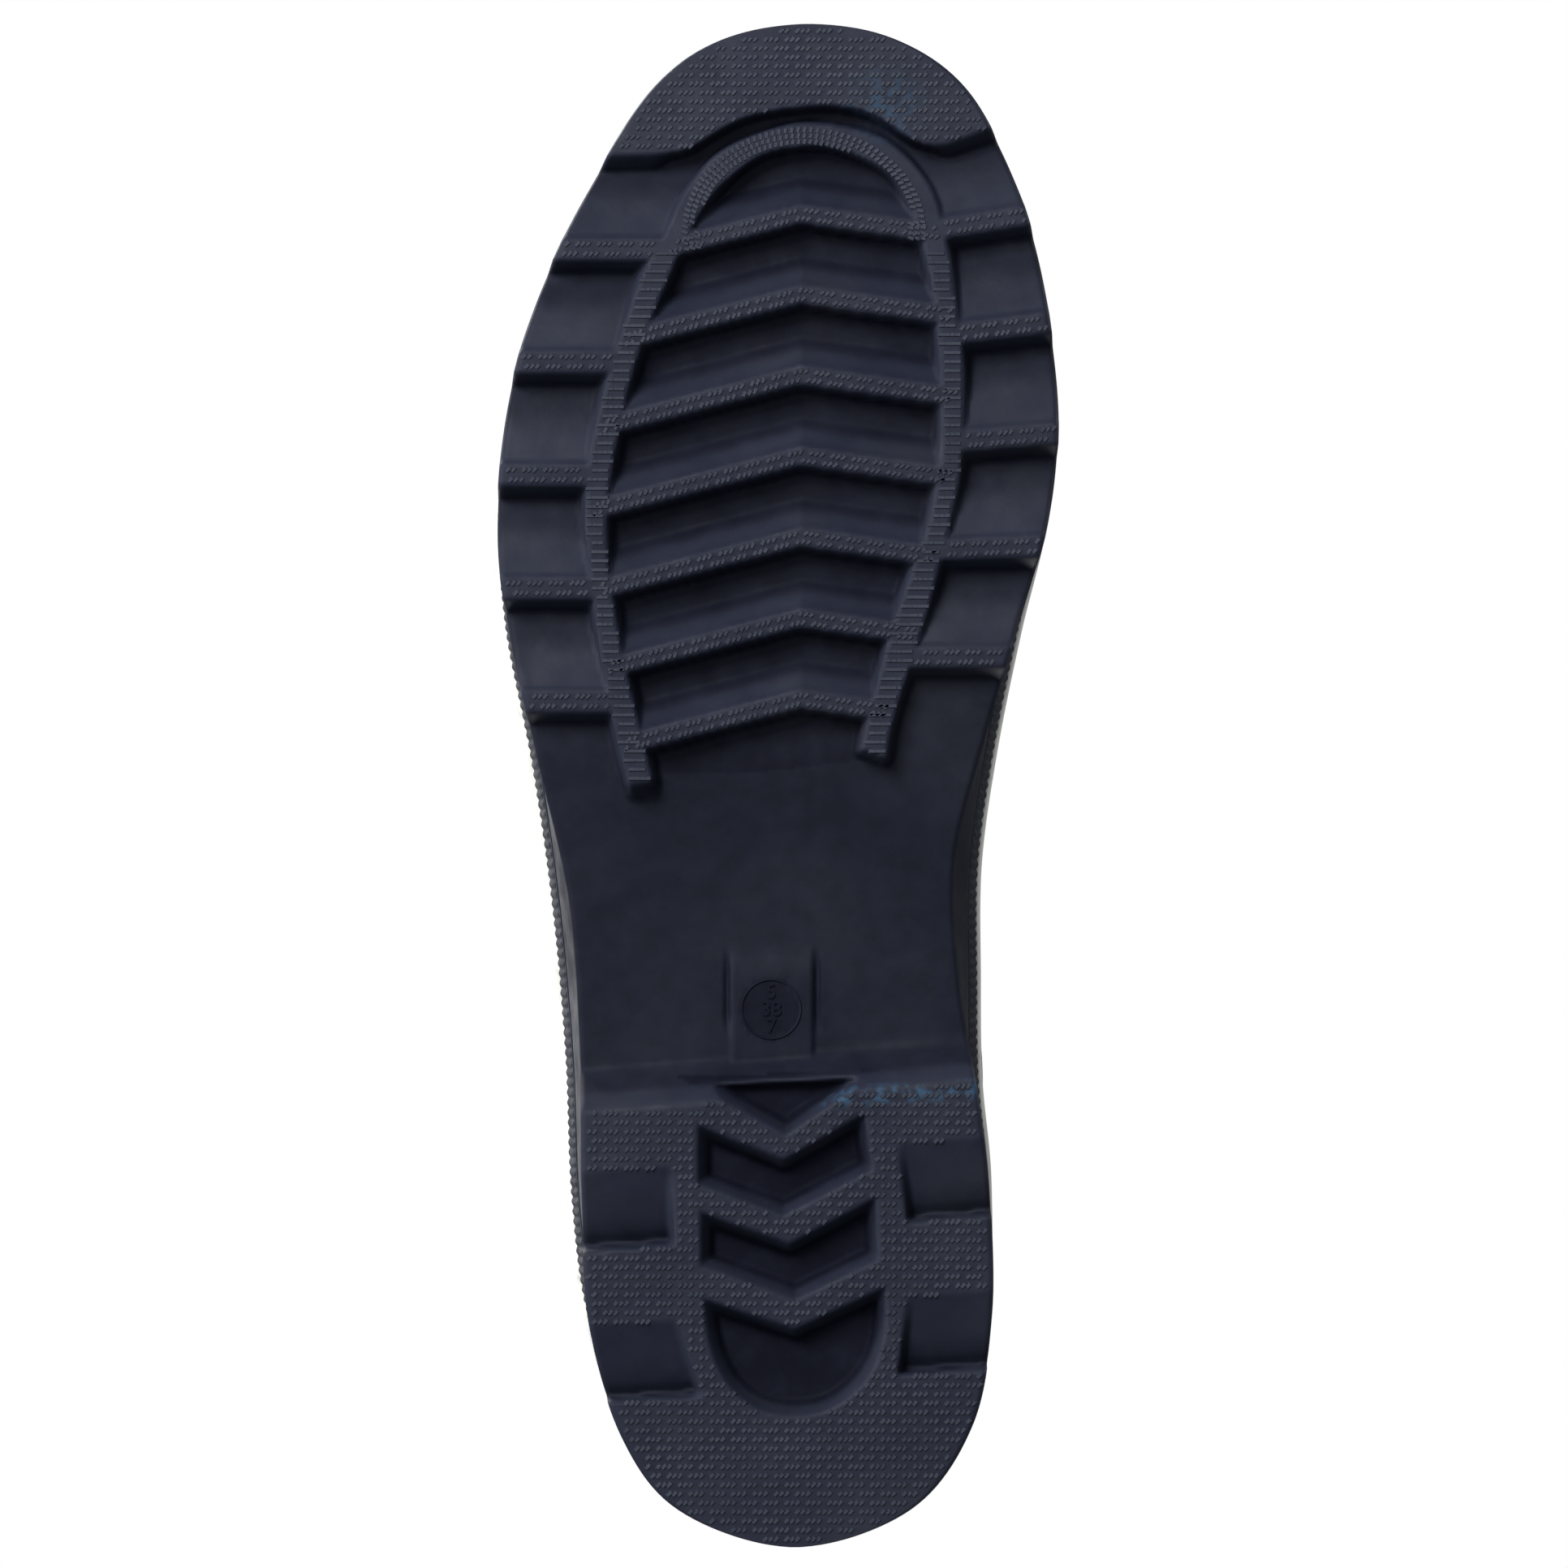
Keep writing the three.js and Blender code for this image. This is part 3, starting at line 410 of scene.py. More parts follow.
def tread_rubber():
    """Dull navy, greyer where it is rubbed and dusty, with two old bluish scuffs: one on the toe pad
    and one along the front edge of the heel. The low floors are darker: fresh rubber that dust doesn't
    reach, and painted shade."""
    f = Finish("tread_rubber", specular=0.12)
    cloud = f.limits(f.noise(0.018, 4.0), 0.35, 0.7)
    fresh_shaded = f.blend(cloud, (0.0050, 0.0056, 0.0112), (0.0072, 0.0080, 0.0150))
    dusty = f.blend(cloud, (0.0128, 0.0158, 0.0300), (0.0172, 0.0205, 0.0360))
    speckle = f.limits(f.noise(0.004, 5.0), 0.35, 0.7, -0.18, 0.12)
    # painted shade: where the tread is low the colour falls to the dark fresh tone, as shade as well as
    # for lack of dust
    dust_and_shade = f.blend(f.limits(f.math("ADD", f.attribute("high"), speckle), 0.0, 1.0), fresh_shaded, dusty)
    patches = f.limits(f.noise(0.022, 3.0), 0.5, 0.75, 0.0, 0.3)
    bloom = f.math("MULTIPLY", patches, f.attribute("high"))
    dull = f.blend(bloom, dust_and_shade, (0.033, 0.034, 0.040))
    toe_scuff = f.math("MULTIPLY", f.near(TOE_SCUFF, 0.008), 0.7)
    heel_line = f.math("ADD", f.axis(1), f.math("MULTIPLY", f.axis(0), HEEL_SCUFF_SLOPE))
    off_line = f.math("ABSOLUTE", f.math("SUBTRACT", heel_line, HEEL_SCUFF_Y))
    heel_scuff = f.math("MULTIPLY", f.limits(off_line, 0.0005, 0.0022, 1.0, 0.0),
                        f.limits(f.axis(0), 0.004, 0.012))
    heel_scuff = f.math("MULTIPLY", heel_scuff, f.limits(f.axis(2), 0.002, 0.004, 1.0, 0.0))
    rubs = f.math("MULTIPLY", f.math("MAXIMUM", toe_scuff, heel_scuff),
                  f.limits(f.noise(0.0022, 4.0), 0.44, 0.58))
    f.colour(f.blend(f.math("MULTIPLY", rubs, 0.75), dull, (0.030, 0.078, 0.140)))
    f.feed(f.specular, f.limits(f.attribute("high"), 0.1, 0.8, 0.03, 0.16))
    f.roughness(f.limits(f.noise(0.006, 4.0), 0.3, 0.7, 0.52, 0.72))
    f.bump(f.noise(0.0011, 3.0), 0.00004)
    f.bump(f.noise(0.009, 2.0), 0.00015)
    return f.material


def tick_rubber():
    """The ticks are paler than the tread they stand on: partly from rubbing, partly a painted highlight
    for the glints on their tops.
    """
    f = Finish("tick_rubber", roughness=0.6, specular=0.2)
    wear_and_light = f.limits(f.noise(0.012, 4.0), 0.3, 0.7)
    # painted highlight: both tones are paler than the tread, for the glints on the ticks
    f.colour(f.blend(wear_and_light, (0.020, 0.025, 0.041), (0.040, 0.046, 0.066)))
    f.bump(f.noise(0.0004, 2.0), 0.00005)
    return f.material


# %% Rubber of the edge, the bands and the upper
def edge_rubber():
    """Dark navy with a fine pebble pressed in by the roller."""
    f = Finish("edge_rubber", specular=0.12)
    cloud = f.noise(0.02, 3.0)
    f.colour(f.blend(f.limits(cloud, 0.35, 0.7), (0.007, 0.009, 0.018), (0.012, 0.015, 0.026)))
    f.roughness(f.limits(f.noise(0.004, 3.0), 0.3, 0.7, 0.6, 0.75))
    f.bump(f.cells(0.0007), 0.00012)
    return f.material


def pale_rubber():
    """Off-white, grey where dirt has been rubbed in, with a few dark rubs."""
    f = Finish("pale_rubber", specular=0.35)
    cloud = f.noise(0.012, 5.0)
    body = f.blend(f.limits(cloud, 0.4, 0.75), (0.80, 0.80, 0.75), (0.62, 0.62, 0.59))
    rub = f.limits(f.noise(0.005, 6.0), 0.62, 0.72, 0.0, 0.5)
    f.colour(f.blend(rub, body, (0.30, 0.31, 0.33)))
    f.roughness(f.limits(cloud, 0.3, 0.7, 0.42, 0.6))
    f.bump(f.noise(0.0015, 3.0), 0.00005)
    return f.material


def upper_rubber(name, dark, light, low, high, grain):
    """Varnished navy sheet: soft waves under the varnish, fine grain, faint dust and rubs."""
    f = Finish(name, specular=0.5, coat=0.12)
    cloud = f.noise(0.035, 4.0)
    body = f.blend(f.limits(cloud, 0.35, 0.7), dark, light)
    dust = f.limits(f.noise(0.0025, 6.0), 0.6, 0.8, 0.0, 0.3)
    f.colour(f.blend(dust, body, (0.075, 0.082, 0.10)))
    f.roughness(f.limits(f.noise(0.008, 5.0), 0.3, 0.7, low, high))
    f.bump(f.noise(0.012, 2.0), 0.00035)
    f.bump(f.noise(grain, 3.0), 0.00003)
    return f.material


# %% Cloth, foam and the hidden layers
def knit_cloth():
    """Grey knit: columns of stitches, each leaning in turn, with flecks of yarn. The stitch is the sine
    of half the column's angle, plus half the sine of the course's leaning angle. The stitches are
    painted darker in their hollows and lighter on their tops, as shade."""
    f = Finish("knit_cloth", roughness=0.95, specular=0.1, sheen=0.35)
    stitch_width, course_height = 1.3, 1.1
    column = f.math("MULTIPLY", f.axis(0, f.uv), 2 * np.pi / stitch_width)
    course = f.math("MULTIPLY", f.axis(1, f.uv), 2 * np.pi / course_height)
    lean = f.math("ADD", course, f.math("MULTIPLY", f.math("SINE", column), 1.4))
    stitch = f.math("ADD", f.math("ABSOLUTE", f.math("SINE", f.math("MULTIPLY", column, 0.5))),
                    f.math("MULTIPLY", f.math("SINE", lean), 0.5))
    fleck = f.noise(0.0016, 3.0)
    # painted shade: the colour follows the stitch relief, dark in its hollows
    relief_shade = f.blend(f.limits(stitch, 0.0, 1.3), (0.16, 0.17, 0.20), (0.46, 0.48, 0.52))
    f.colour(f.blend(f.limits(fleck, 0.5, 0.7, 0.0, 0.45), relief_shade, (0.30, 0.32, 0.37)))
    f.bump(stitch, 0.0003)
    return f.material


def footbed_cloth():
    """Brushed cover of the footbed: a fine mesh of threads over soft foam, painted darker between the
    threads as shade.
    """
    f = Finish("footbed_cloth", roughness=0.95, specular=0.1, sheen=0.4)
    thread_gap = 0.0018
    rib = 2 * np.pi / thread_gap
    across = f.math("SINE", f.math("MULTIPLY", f.axis(0), rib))
    along = f.math("SINE", f.math("MULTIPLY", f.axis(1), rib))
    mesh = f.math("MULTIPLY", across, along)
    # painted shade: the colour follows the mesh of threads, dark between them
    relief_shade = f.blend(f.limits(mesh, -0.6, 0.8), (0.035, 0.043, 0.065), (0.085, 0.10, 0.14))
    f.colour(f.blend(f.limits(f.noise(0.03, 3.0), 0.5, 0.75, 0.0, 0.5), relief_shade, (0.10, 0.11, 0.13)))
    f.bump(mesh, 0.00025)
    return f.material


def webbing_cloth():
    """Navy twill tape: slanted ribs of warp, crossed by finer threads of weft. The weave is the sine of
    the slant, plus two fifths of the sine of the weft. Its colour follows the weave, painted darker in
    the grooves as shade."""
    f = Finish("webbing_cloth", roughness=0.9, specular=0.15, sheen=0.3)
    rib_width, slant_length, weft = 0.8, 1.6, 0.5
    across = f.math("MULTIPLY", f.axis(0, f.uv), 2 * np.pi / rib_width)
    along = f.math("MULTIPLY", f.axis(1, f.uv), 2 * np.pi / slant_length)
    twill = f.math("SINE", f.math("ADD", across, along))
    thread = f.math("SINE", f.math("MULTIPLY", f.axis(1, f.uv), 2 * np.pi / weft))
    weave = f.math("ADD", twill, f.math("MULTIPLY", thread, 0.4))
    # painted shade: the colour follows the weave, dark in its grooves
    f.colour(f.blend(f.limits(weave, -1.0, 1.2), (0.010, 0.013, 0.030), (0.035, 0.043, 0.080)))
    f.bump(weave, 0.00018)
    return f.material


def plain_layer(name, dark, light, size, roughness, metallic=0.0):
    """A layer that lies inside: two tones in grains of the given size."""
    f = Finish(name, roughness=roughness, metallic=metallic)
    grain = f.noise(size, 5.0)
    f.colour(f.blend(f.limits(grain, 0.35, 0.65), dark, light))
    f.bump(grain, 0.0001)
    return f.material


# %% The finishes
TREAD = tread_rubber()
TICKS = tick_rubber()
EDGE = edge_rubber()
PALE = pale_rubber()
UPPER = upper_rubber("upper_rubber", (0.010, 0.014, 0.032), (0.014, 0.019, 0.040),
                     0.26, 0.42, 0.0009)
TRIM = upper_rubber("trim_rubber", (0.012, 0.016, 0.032), (0.018, 0.022, 0.040),
                    0.42, 0.58, 0.0005)
KNIT = knit_cloth()
FOOTBED = footbed_cloth()
WEBBING = webbing_cloth()
CORK = plain_layer("cork_filler", (0.10, 0.065, 0.04), (0.22, 0.15, 0.09), 0.003, 0.9)
STEEL = plain_layer("spring_steel", (0.40, 0.41, 0.42), (0.50, 0.51, 0.52), 0.001, 0.35, 1.0)
BOARD = plain_layer("fibreboard", (0.30, 0.21, 0.12), (0.44, 0.32, 0.19), 0.0015, 0.9)
print("finishes:", len(bpy.data.materials))

# %% Layers that stay as they were modelled
inner_layers = {
    "heel_filler": CORK, "midsole_filler": CORK, "shank": STEEL,
    "insole_board": BOARD, "toe_puff": BOARD, "heel_stiffener": BOARD,
}
for node, finish in inner_layers.items():
    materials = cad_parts[node].data.materials
    materials.clear()
    materials.append(finish)
print("inner layers:", sorted(inner_layers))

# %% [markdown]
# ## Tread
# The underside is one moulding, so it is drawn as one height over the plan: how far each point
# stands back from the plane that touches the ground. The toe pad, the long horseshoe and the heel
# stand on that plane. Inside the horseshoe, chevrons climb along a ramp and drop off steeply
# behind. Outside it, the side lugs do the same with a longer ramp. Each wall is a smooth step
# over a real draft of a millimetre or two, because a mould has to let go of the rubber.

# %% Outlines on the tread
TICK_HEIGHT = 0.25              # the ticks stand proud of the plane of the tread
PAD_EDGE = [
    (-60, -108.5), (-30, -108.6), (-17, -109), (-14, -110.4), (-9.7, -113.4), (-4.9, -115.6),
    (1.2, -116.8), (8.5, -117.4), (14, -116.8), (18.3, -115), (22, -112), (25, -110.5),
    (28, -110.2), (38, -114), (60, -120),
]
HORSESHOE_OUTSIDE = [
    (-25.5, 0.5), (-28.5, -12), (-31.5, -30), (-33, -46), (-32, -58), (-29, -70.5), (-24, -86),
    (-20, -93.5), (-16, -102), (-10, -109), (0, -113.3), (8, -114), (18, -111.5), (25, -105),
    (28.5, -96), (31, -80), (32, -68), (31, -52), (26, -31), (20, -12), (18.5, -4.5),
]
HORSESHOE_INSIDE = [
    (14.5, -6), (15.5, -10.5), (19, -24), (21.5, -32), (25.5, -43), (27.5, -52), (28.3, -63),
    (27.5, -80), (25.5, -92), (22.5, -100.5), (18.5, -106), (10, -109.8), (3, -110), (-3, -108.5),
    (-8, -105), (-12, -101), (-16, -94), (-19.5, -86), (-23.5, -76), (-26.5, -65.5), (-29.3, -50),
    (-29.3, -38), (-27, -23), (-24, -10), (-21.7, -0.5),
]
BREAST_RECESS = [(-17, 50.6), (18, 49.4), (1.5, 60.6)]
HEEL_CELLS = [
    [(-14, 58.5), (1, 64.5), (15, 56.5), (16.5, 66.5), (1, 74.5), (-14, 69)],
    [(-13.5, 73.5), (2, 79), (17, 71), (17.5, 82), (3, 89), (-13.5, 83)],
    [(-13, 88.5), (3, 93.7), (18.5, 86.5)],
]
# The back of the last cell, from its right corner round to its left corner.
CELL_BACK = [
    (18.5, 86.5), (18.7, 93), (17.3, 99.3), (14, 104.2), (9.2, 107.7), (3.5, 109), (-2.4, 108.2),
    (-7.2, 105.2), (-10.6, 100.4), (-12.4, 94.6), (-13, 88.5),
]
# Notches in the sides of the heel: side, inner x at both ends, start of the ramp, its deep end.
HEEL_NOTCHES = [
    (-1, -17.8, -17.6, 66, 79), (-1, -17, -13, 92.5, 105.3),
    (1, 20.5, 22, 62, 75), (1, 22, 20.5, 88.5, 101.3),
]


def rounded(points, steps=8):
    """A smooth open line through points, as many short steps."""
    knots = np.array(points, float)
    return catmull(knots, np.linspace(0, len(knots) - 1, (len(knots) - 1) * steps + 1))


def outside_of(x, y, outline_points):
    """Distance of each point from a closed outline, negative inside it: the nearest distance to
    any of its sides, with the sign from how often a level line crosses them."""
    a = np.asarray(outline_points, float)
    b = np.roll(a, -1, axis=0)
    px, py = x.ravel()[:, None], y.ravel()[:, None]
    along = b - a
    share = ((px - a[:, 0]) * along[:, 0] + (py - a[:, 1]) * along[:, 1]) / (along**2).sum(axis=1)
    share = np.clip(share, 0, 1)
    apart = a + share[..., None] * along - np.stack([px, py], axis=-1)
    distance = np.hypot(apart[..., 0], apart[..., 1]).min(axis=1)
    crosses = (a[:, 1] > py) != (b[:, 1] > py)
    with np.errstate(divide="ignore", invalid="ignore"):
        at = a[:, 0] + (py - a[:, 1]) * along[:, 0] / along[:, 1]
    odd = (crosses & (px < at)).sum(axis=1) % 2 == 1
    return np.where(odd, -distance, distance).reshape(x.shape)


HEEL_CELLS[-1] = [*HEEL_CELLS[-1], *rounded(CELL_BACK)[1:-1]]
horseshoe_front = rounded(HORSESHOE_OUTSIDE)
horseshoe = np.concatenate([horseshoe_front, rounded(HORSESHOE_INSIDE)])
print("horseshoe:", len(horseshoe), "points, heel cells:", len(HEEL_CELLS))

# %% Teeth that repeat
# Each profile is a run in millimetres and the height at each place of the run.
CHEVRONS = {"first": -100.0, "pitch": 13.95, "count": 7, "point": 4.0, "left": 0.26, "right": 0.14}
CHEVRON_PROFILE = ([0, 3.3, 4.4, 8.9, 13.3, 13.95], [0, 0, 5.0, 5.0, 1.0, 0])
LEFT_LUGS = {"first": -94.0, "pitch": 19.5}
RIGHT_LUGS = {"first": -97.8, "pitch": 18.55, "hinge": 30.0, "tilt": -0.16, "tilt_step": 0.04}
LUG_PROFILE = ([0, 3.5, 5.6, 6.8, 18.2, 18.9], [0, 0, 5.0, 5.0, 0.9, 0])
LUG_COUNT = 5
TEETH_END = -2.0                # y where the chevrons and lugs stop, at the waist


def wall(t):
    """A moulded wall from 0 at its foot to 1: a straight draft with slightly rounded ends."""
    return mix(np.clip(t, 0, 1), smooth(t), 0.4)


def sawtooth(run, pitch, count, profile, floor):
    """Repeats a profile every pitch along run, for count teeth and the ramp before the first."""
    index = np.floor(run / pitch)
    phase = (run - index * pitch) * profile[0][-1] / pitch
    height = np.interp(phase, *profile)
    behind = (index >= count) | ((index == count - 1) & (phase > profile[0][2]))
    before = (index < -1) | ((index == -1) & (phase < profile[0][3]))
    return np.where(behind | before, floor, height)


def chevron_run(x, y):
    """How far a point lies behind the front edge of the first chevron, along the sole."""
    slope = np.where(x < CHEVRONS["point"], CHEVRONS["left"], CHEVRONS["right"])
    return y - CHEVRONS["first"] - slope * np.abs(x - CHEVRONS["point"])


def lug_run(x, y):
    """How far a point lies behind the first lug of its side, and the pitch of that side. The
    lugs of the right side lean forward, each a little less than the one before."""
    from_first = y - RIGHT_LUGS["first"]
    number = np.clip(from_first / RIGHT_LUGS["pitch"], 0, LUG_COUNT - 1)
    tilt = RIGHT_LUGS["tilt"] + RIGHT_LUGS["tilt_step"] * number
    right = from_first - tilt * (x - RIGHT_LUGS["hinge"])
    run = np.where(x < 0, y - LEFT_LUGS["first"], right)
    return run, np.where(x < 0, LEFT_LUGS["pitch"], RIGHT_LUGS["pitch"])


# %% Relief of the forefoot
FLOOR_DEEPENS, FLOOR_FADE = -8.0, 36.0  # y where the floor starts to sink, and over what length


def forefoot_relief(x, y, floor):
    """Teeth inside and outside the horseshoe, then the horseshoe and the toe pad over them: a
    raised part is the lower of what was there and the floor times its wall."""
    run, pitch = lug_run(x, y)
    sides = sawtooth(run, pitch, LUG_COUNT, LUG_PROFILE, floor)
    bars = sawtooth(chevron_run(x, y), CHEVRONS["pitch"], CHEVRONS["count"],
                    CHEVRON_PROFILE, floor)
    height = np.where(outside_of(x, y, horseshoe_front) < 0, bars, sides)
    height = np.where(y > TEETH_END, floor, height)
    steeper_in_front = 0.8 * smooth((-100 - y) / 6)
    ring_draft = 1.6 - steeper_in_front
    height = np.minimum(height, floor * wall(outside_of(x, y, horseshoe) / ring_draft))
    pad_edge = np.transpose(PAD_EDGE)
    pad = np.mean([np.interp(x + step, *pad_edge) for step in (-2, -1, 0, 1, 2)], axis=0)
    pad_draft = 1.0 + 2.0 * smooth((np.abs(x - CHEVRONS["point"]) - 22) / 4)
    return np.minimum(height, floor * wall((y - pad) / pad_draft))


# %% Relief of the waist and the heel
TAB_MIDDLE, TAB_HALF_WIDTH, TAB_FRONT, TAB_BACK = -1.0, 7.5, 29.0, 52.0
GROOVE_LEFT, GROOVE_RIGHT, GROOVE_DEPTH = -8.8, 6.8, 0.7
BREAST_START, BREAST_LENGTH = 46.7, 7.4     # the front wall of the heel
RECESS_DEPTH, CELL_DRAFT, NOTCH_DRAFT = 5.5, 2.6, 1.5


def waist_relief(x, y, height):
    """A raised tab for the size mark, with a fine groove along each side."""
    tab = smooth((TAB_HALF_WIDTH - np.abs(x - TAB_MIDDLE)) / 0.8) * smooth((y - TAB_FRONT) / 3)
    height = height - size_tab * tab * (y < TAB_BACK)
    groove = 1 - np.minimum(np.abs(x - GROOVE_LEFT), np.abs(x - GROOVE_RIGHT)) / 0.8
    ends = smooth((y - 29.5) / 1.5) * smooth((46 - y) / 6)
    return height + GROOVE_DEPTH * smooth(groove) * ends


def heel_relief(x, y, height):
    """The heel's front wall, then cells and notches cut into it: each is the higher of what was
    there and its own depth times its wall."""
    slope = (y - (BREAST_START - 0.08 * x)) / BREAST_LENGTH
    breast = arch_height * (1 - mix(np.clip(slope, 0, 1), smooth(slope), 0.5))
    height = np.where(y > 42, np.minimum(height, breast), height)
    recess = RECESS_DEPTH * wall(-outside_of(x, y, BREAST_RECESS) / CELL_DRAFT)
    height = np.where((y > 49) & (y < 62), np.maximum(height, recess), height)
    for cell in HEEL_CELLS:
        height = np.maximum(height, tread_depth * wall(-outside_of(x, y, cell) / CELL_DRAFT))
    for side, inner_start, inner_end, start, deep in HEEL_NOTCHES:
        along = y + 0.07 * (x - side * 20)
        inner = np.interp(y, [start, deep], [inner_start, inner_end])
        ramp = [start, deep - 2.0, deep, deep + 0.7]
        notch = np.interp(along, ramp, [0, 3.8, tread_depth, 0])
        height = np.maximum(height, notch * wall(side * (x - inner) / NOTCH_DRAFT))
    return height


def tread(x, y):
    """Height of the underside over the plane of the tread, in the plan of the flat sole."""
    floor = mix(tread_depth, arch_height, smooth((y - FLOOR_DEEPENS) / FLOOR_FADE))
    return heel_relief(x, y, waist_relief(x, y, forefoot_relief(x, y, floor)))


print("deepest point of the tread:", tread(*np.mgrid[-45:45:1.0, -120:120:1.0]).max().round(1), "mm")

# %% [markdown]
# The grid for this moulding runs from edge to edge: each row joins a point of the outer edge to
# the facing point of the inner edge. Rows crowd where there is relief and thin out under the
# waist and at the two ends. The same rows carry on up the side walls and across the top, where
# the heel is hollow for a lighter filler, so the piece closes on itself.

# %% Rows of the underside
ROW_COUNT, COLUMN_COUNT = 430, 190
FOREFOOT_RELIEF, HEEL_RELIEF = (-121, 2), (44, 113)     # y where the relief starts and ends
RIM_RADIUS = 0.9                # rounding of the tread's own edge


def crowded_rows(count):
    """Shares from heel to toe, close together where the tread has relief."""
    share = np.linspace(0, 1, 2001)
    y = edge(share / 2)[:, 1]
    forefoot, heel = (smooth((y - start) / 4) * smooth((end - y) / 4)
                      for start, end in (FOREFOOT_RELIEF, HEEL_RELIEF))
    weight = 0.35 + 0.65 * (forefoot + heel)
    run = np.concatenate([[0], np.cumsum((weight[1:] + weight[:-1]) / 2)])
    return np.interp(np.linspace(0, run[-1], count), run, share)


def across_sole(share, columns, inset_left, inset_right):
    """Rows of points in plan, from the outer edge to the inner edge, insets in millimetres."""
    left = inside(share / 2, inset_left, 0)[:, None, :2]
    right = inside(1 - share / 2, inset_right, 0)[:, None, :2]
    return left + (right - left) * columns[None, :, None]


rows = crowded_rows(ROW_COUNT)
columns = np.linspace(0, 1, COLUMN_COUNT)
left_inset, right_inset = edge(rows / 2)[:, 2], edge(1 - rows / 2)[:, 2]
plan = across_sole(rows, columns, left_inset, right_inset)
tread_height = tread(plan[..., 0], plan[..., 1])
row_width = np.linalg.norm(plan[:, -1] - plan[:, 0], axis=1)[:, None]
edge_distance = np.minimum(np.minimum(columns, 1 - columns) * row_width,
                           np.minimum(rows, 1 - rows)[:, None] * sole_length)
from_rim = 1 - np.clip(edge_distance / RIM_RADIUS, 0, 1)
rim = RIM_RADIUS * (1 - np.sqrt(np.clip(1 - from_rim**2, 0, 1)))
under = np.dstack([plan, tread_height + rim + TICK_HEIGHT])
print("underside:", under.shape[:2], "points")

# %% Walls and top of the outsole
HOLLOW_START = 62.0             # y where the hollow over the heel begins
HOLLOW_FLOOR = tread_depth + 4.0
HOLLOW_LIP = 11.0


def sole_wall(u, foot):
    """One side of the outsole: from its foot up to the top, the inset easing from the tread's to
    the top's over the lower part."""
    climb = np.array([0, 0.06, 0.2, 0.4, 0.6, 0.8, 0.94, 1.0])[:, None]
    p = edge(u)
    lean = mix(p[:, 2], sole_edge_inset, np.interp(climb, [0, 0.55, 1], [0, 0.6, 1]))
    flat = p[None, :, :2] + inward(u)[None] * lean[..., None]
    return np.dstack([flat, mix(foot[None], sole_top(p[:, 1])[None], climb)])


def sole_cap():
    """Top of the outsole, with a hollow over the heel: rows from edge to edge, of six points."""
    left, right = rows / 2, 1 - rows / 2
    heel = np.maximum(edge(left)[:, 1], edge(right)[:, 1]) > HOLLOW_START
    last = np.flatnonzero(heel)[-1]
    order = np.insert(np.arange(len(rows)), last + 1, last)
    hollow = heel[order].copy()
    hollow[last + 1] = False
    half_width = np.abs(edge(left)[order, 0] - edge(right)[order, 0]) / 2
    lip_inset = np.where(heel[order], HOLLOW_LIP, np.minimum(HOLLOW_LIP, half_width))
    rims = [inside(left[order], sole_edge_inset, 0), inside(right[order], sole_edge_inset, 0)]
    lips = [inside(left[order], lip_inset, 0), inside(right[order], lip_inset, 0)]
    for lip, ring in zip(lips, rims):
        lip[:, 2] = ring[:, 2]
        lip[~heel[order]] = ring[~heel[order]]
    sunk = [lip.copy() for lip in lips]
    for s in sunk:
        s[hollow, 2] = HOLLOW_FLOOR
    return np.stack([rims[0], lips[0], sunk[0], sunk[1], lips[1], rims[1]], axis=1)


left_wall = sole_wall(rows / 2, under[:, 0, 2]).transpose(1, 0, 2)
right_wall = sole_wall(1 - rows / 2, under[:, -1, 2]).transpose(1, 0, 2)
cap = sole_cap()


def plain_uv(shape):
    """Plan coordinates as texture coordinates."""
    return shape[..., :2].copy()


outsole = closed_piece(
    "outsole_moulding", [(g, plain_uv(g)) for g in (under, left_wall, right_wall, cap)],
    TREAD, ["outsole"])

# %% [markdown]
# Dust and wear gather on the parts of the tread that touch the ground. They hardly reach the floors of
# the deep cells, which keep the dark colour of fresh rubber, and the floors are painted darker still as
# shade, most in the heel cells and between the chevrons. So each point of the outsole carries a number
# that says how worn and how unshaded it is, and the finish reads it.

# %% High parts of the tread
SIZE_MIDDLE, SIZE_RADIUS = np.array([-1.2, 39.0]), 5.1
OPEN_DROP, CHEVRON_DROP, CELL_DROP = 0.6, 0.76, 0.92    # how much darker each floor is painted: less dust, and painted shade


def mark_high(piece):
    """Attribute 'high': 1 on the ground plane, less a drop that comes in with a smooth step between 2.2
    and 4.6 mm over it. The field of the size mark has half. Low values stand for less dust and for
    painted shade."""
    mesh = piece.data
    points = np.empty(len(mesh.vertices) * 3)
    mesh.vertices.foreach_get("co", points)
    points = points.reshape(-1, 3) * MM
    level = points[:, 2] - lift(points[:, 1])
    x, y = points[:, 0], points[:, 1]
    drop = np.full(len(points), OPEN_DROP)
    drop[(outside_of(x, y, horseshoe_front) < 0) & (y < TEETH_END)] = CHEVRON_DROP
    for cell in (BREAST_RECESS, *HEEL_CELLS):
        drop[outside_of(x, y, cell) < 0] = CELL_DROP
    # painted shade: the drop darkens each floor as shade, besides its lack of dust
    high = 1 - drop * smooth((level - 2.2) / 2.4)
    high[np.hypot(x - SIZE_MIDDLE[0], y - SIZE_MIDDLE[1]) < SIZE_RADIUS + 0.1] *= 0.5
    mesh.attributes.new("high", "FLOAT", "POINT").data.foreach_set("value", high)
    print(piece.name, "mean wear", round(float(high.mean()), 2))


mark_high(outsole)

# %% [markdown]
# ## Grip ticks
# The flat parts of the tread are covered with tiny slanted ticks in broken rows, like courses of
# brick. There are thousands, so each is only a six-sided wedge, and all are one mesh. They are
# laid out first on lines that suit each part: level rows on the pads, rows along each chevron and
# lug, and spokes round the front of the horseshoe. A tick stays only where the tread is flat.

# %% Level rows of ticks
TICK_PITCH, ROW_PITCH = 0.92, 1.56
LEAN = -0.80                    # the ticks lean forward, in radians
SIDES_START, SPOKES_END = -107.0, -92.0     # y where the lug rows start and the spokes end


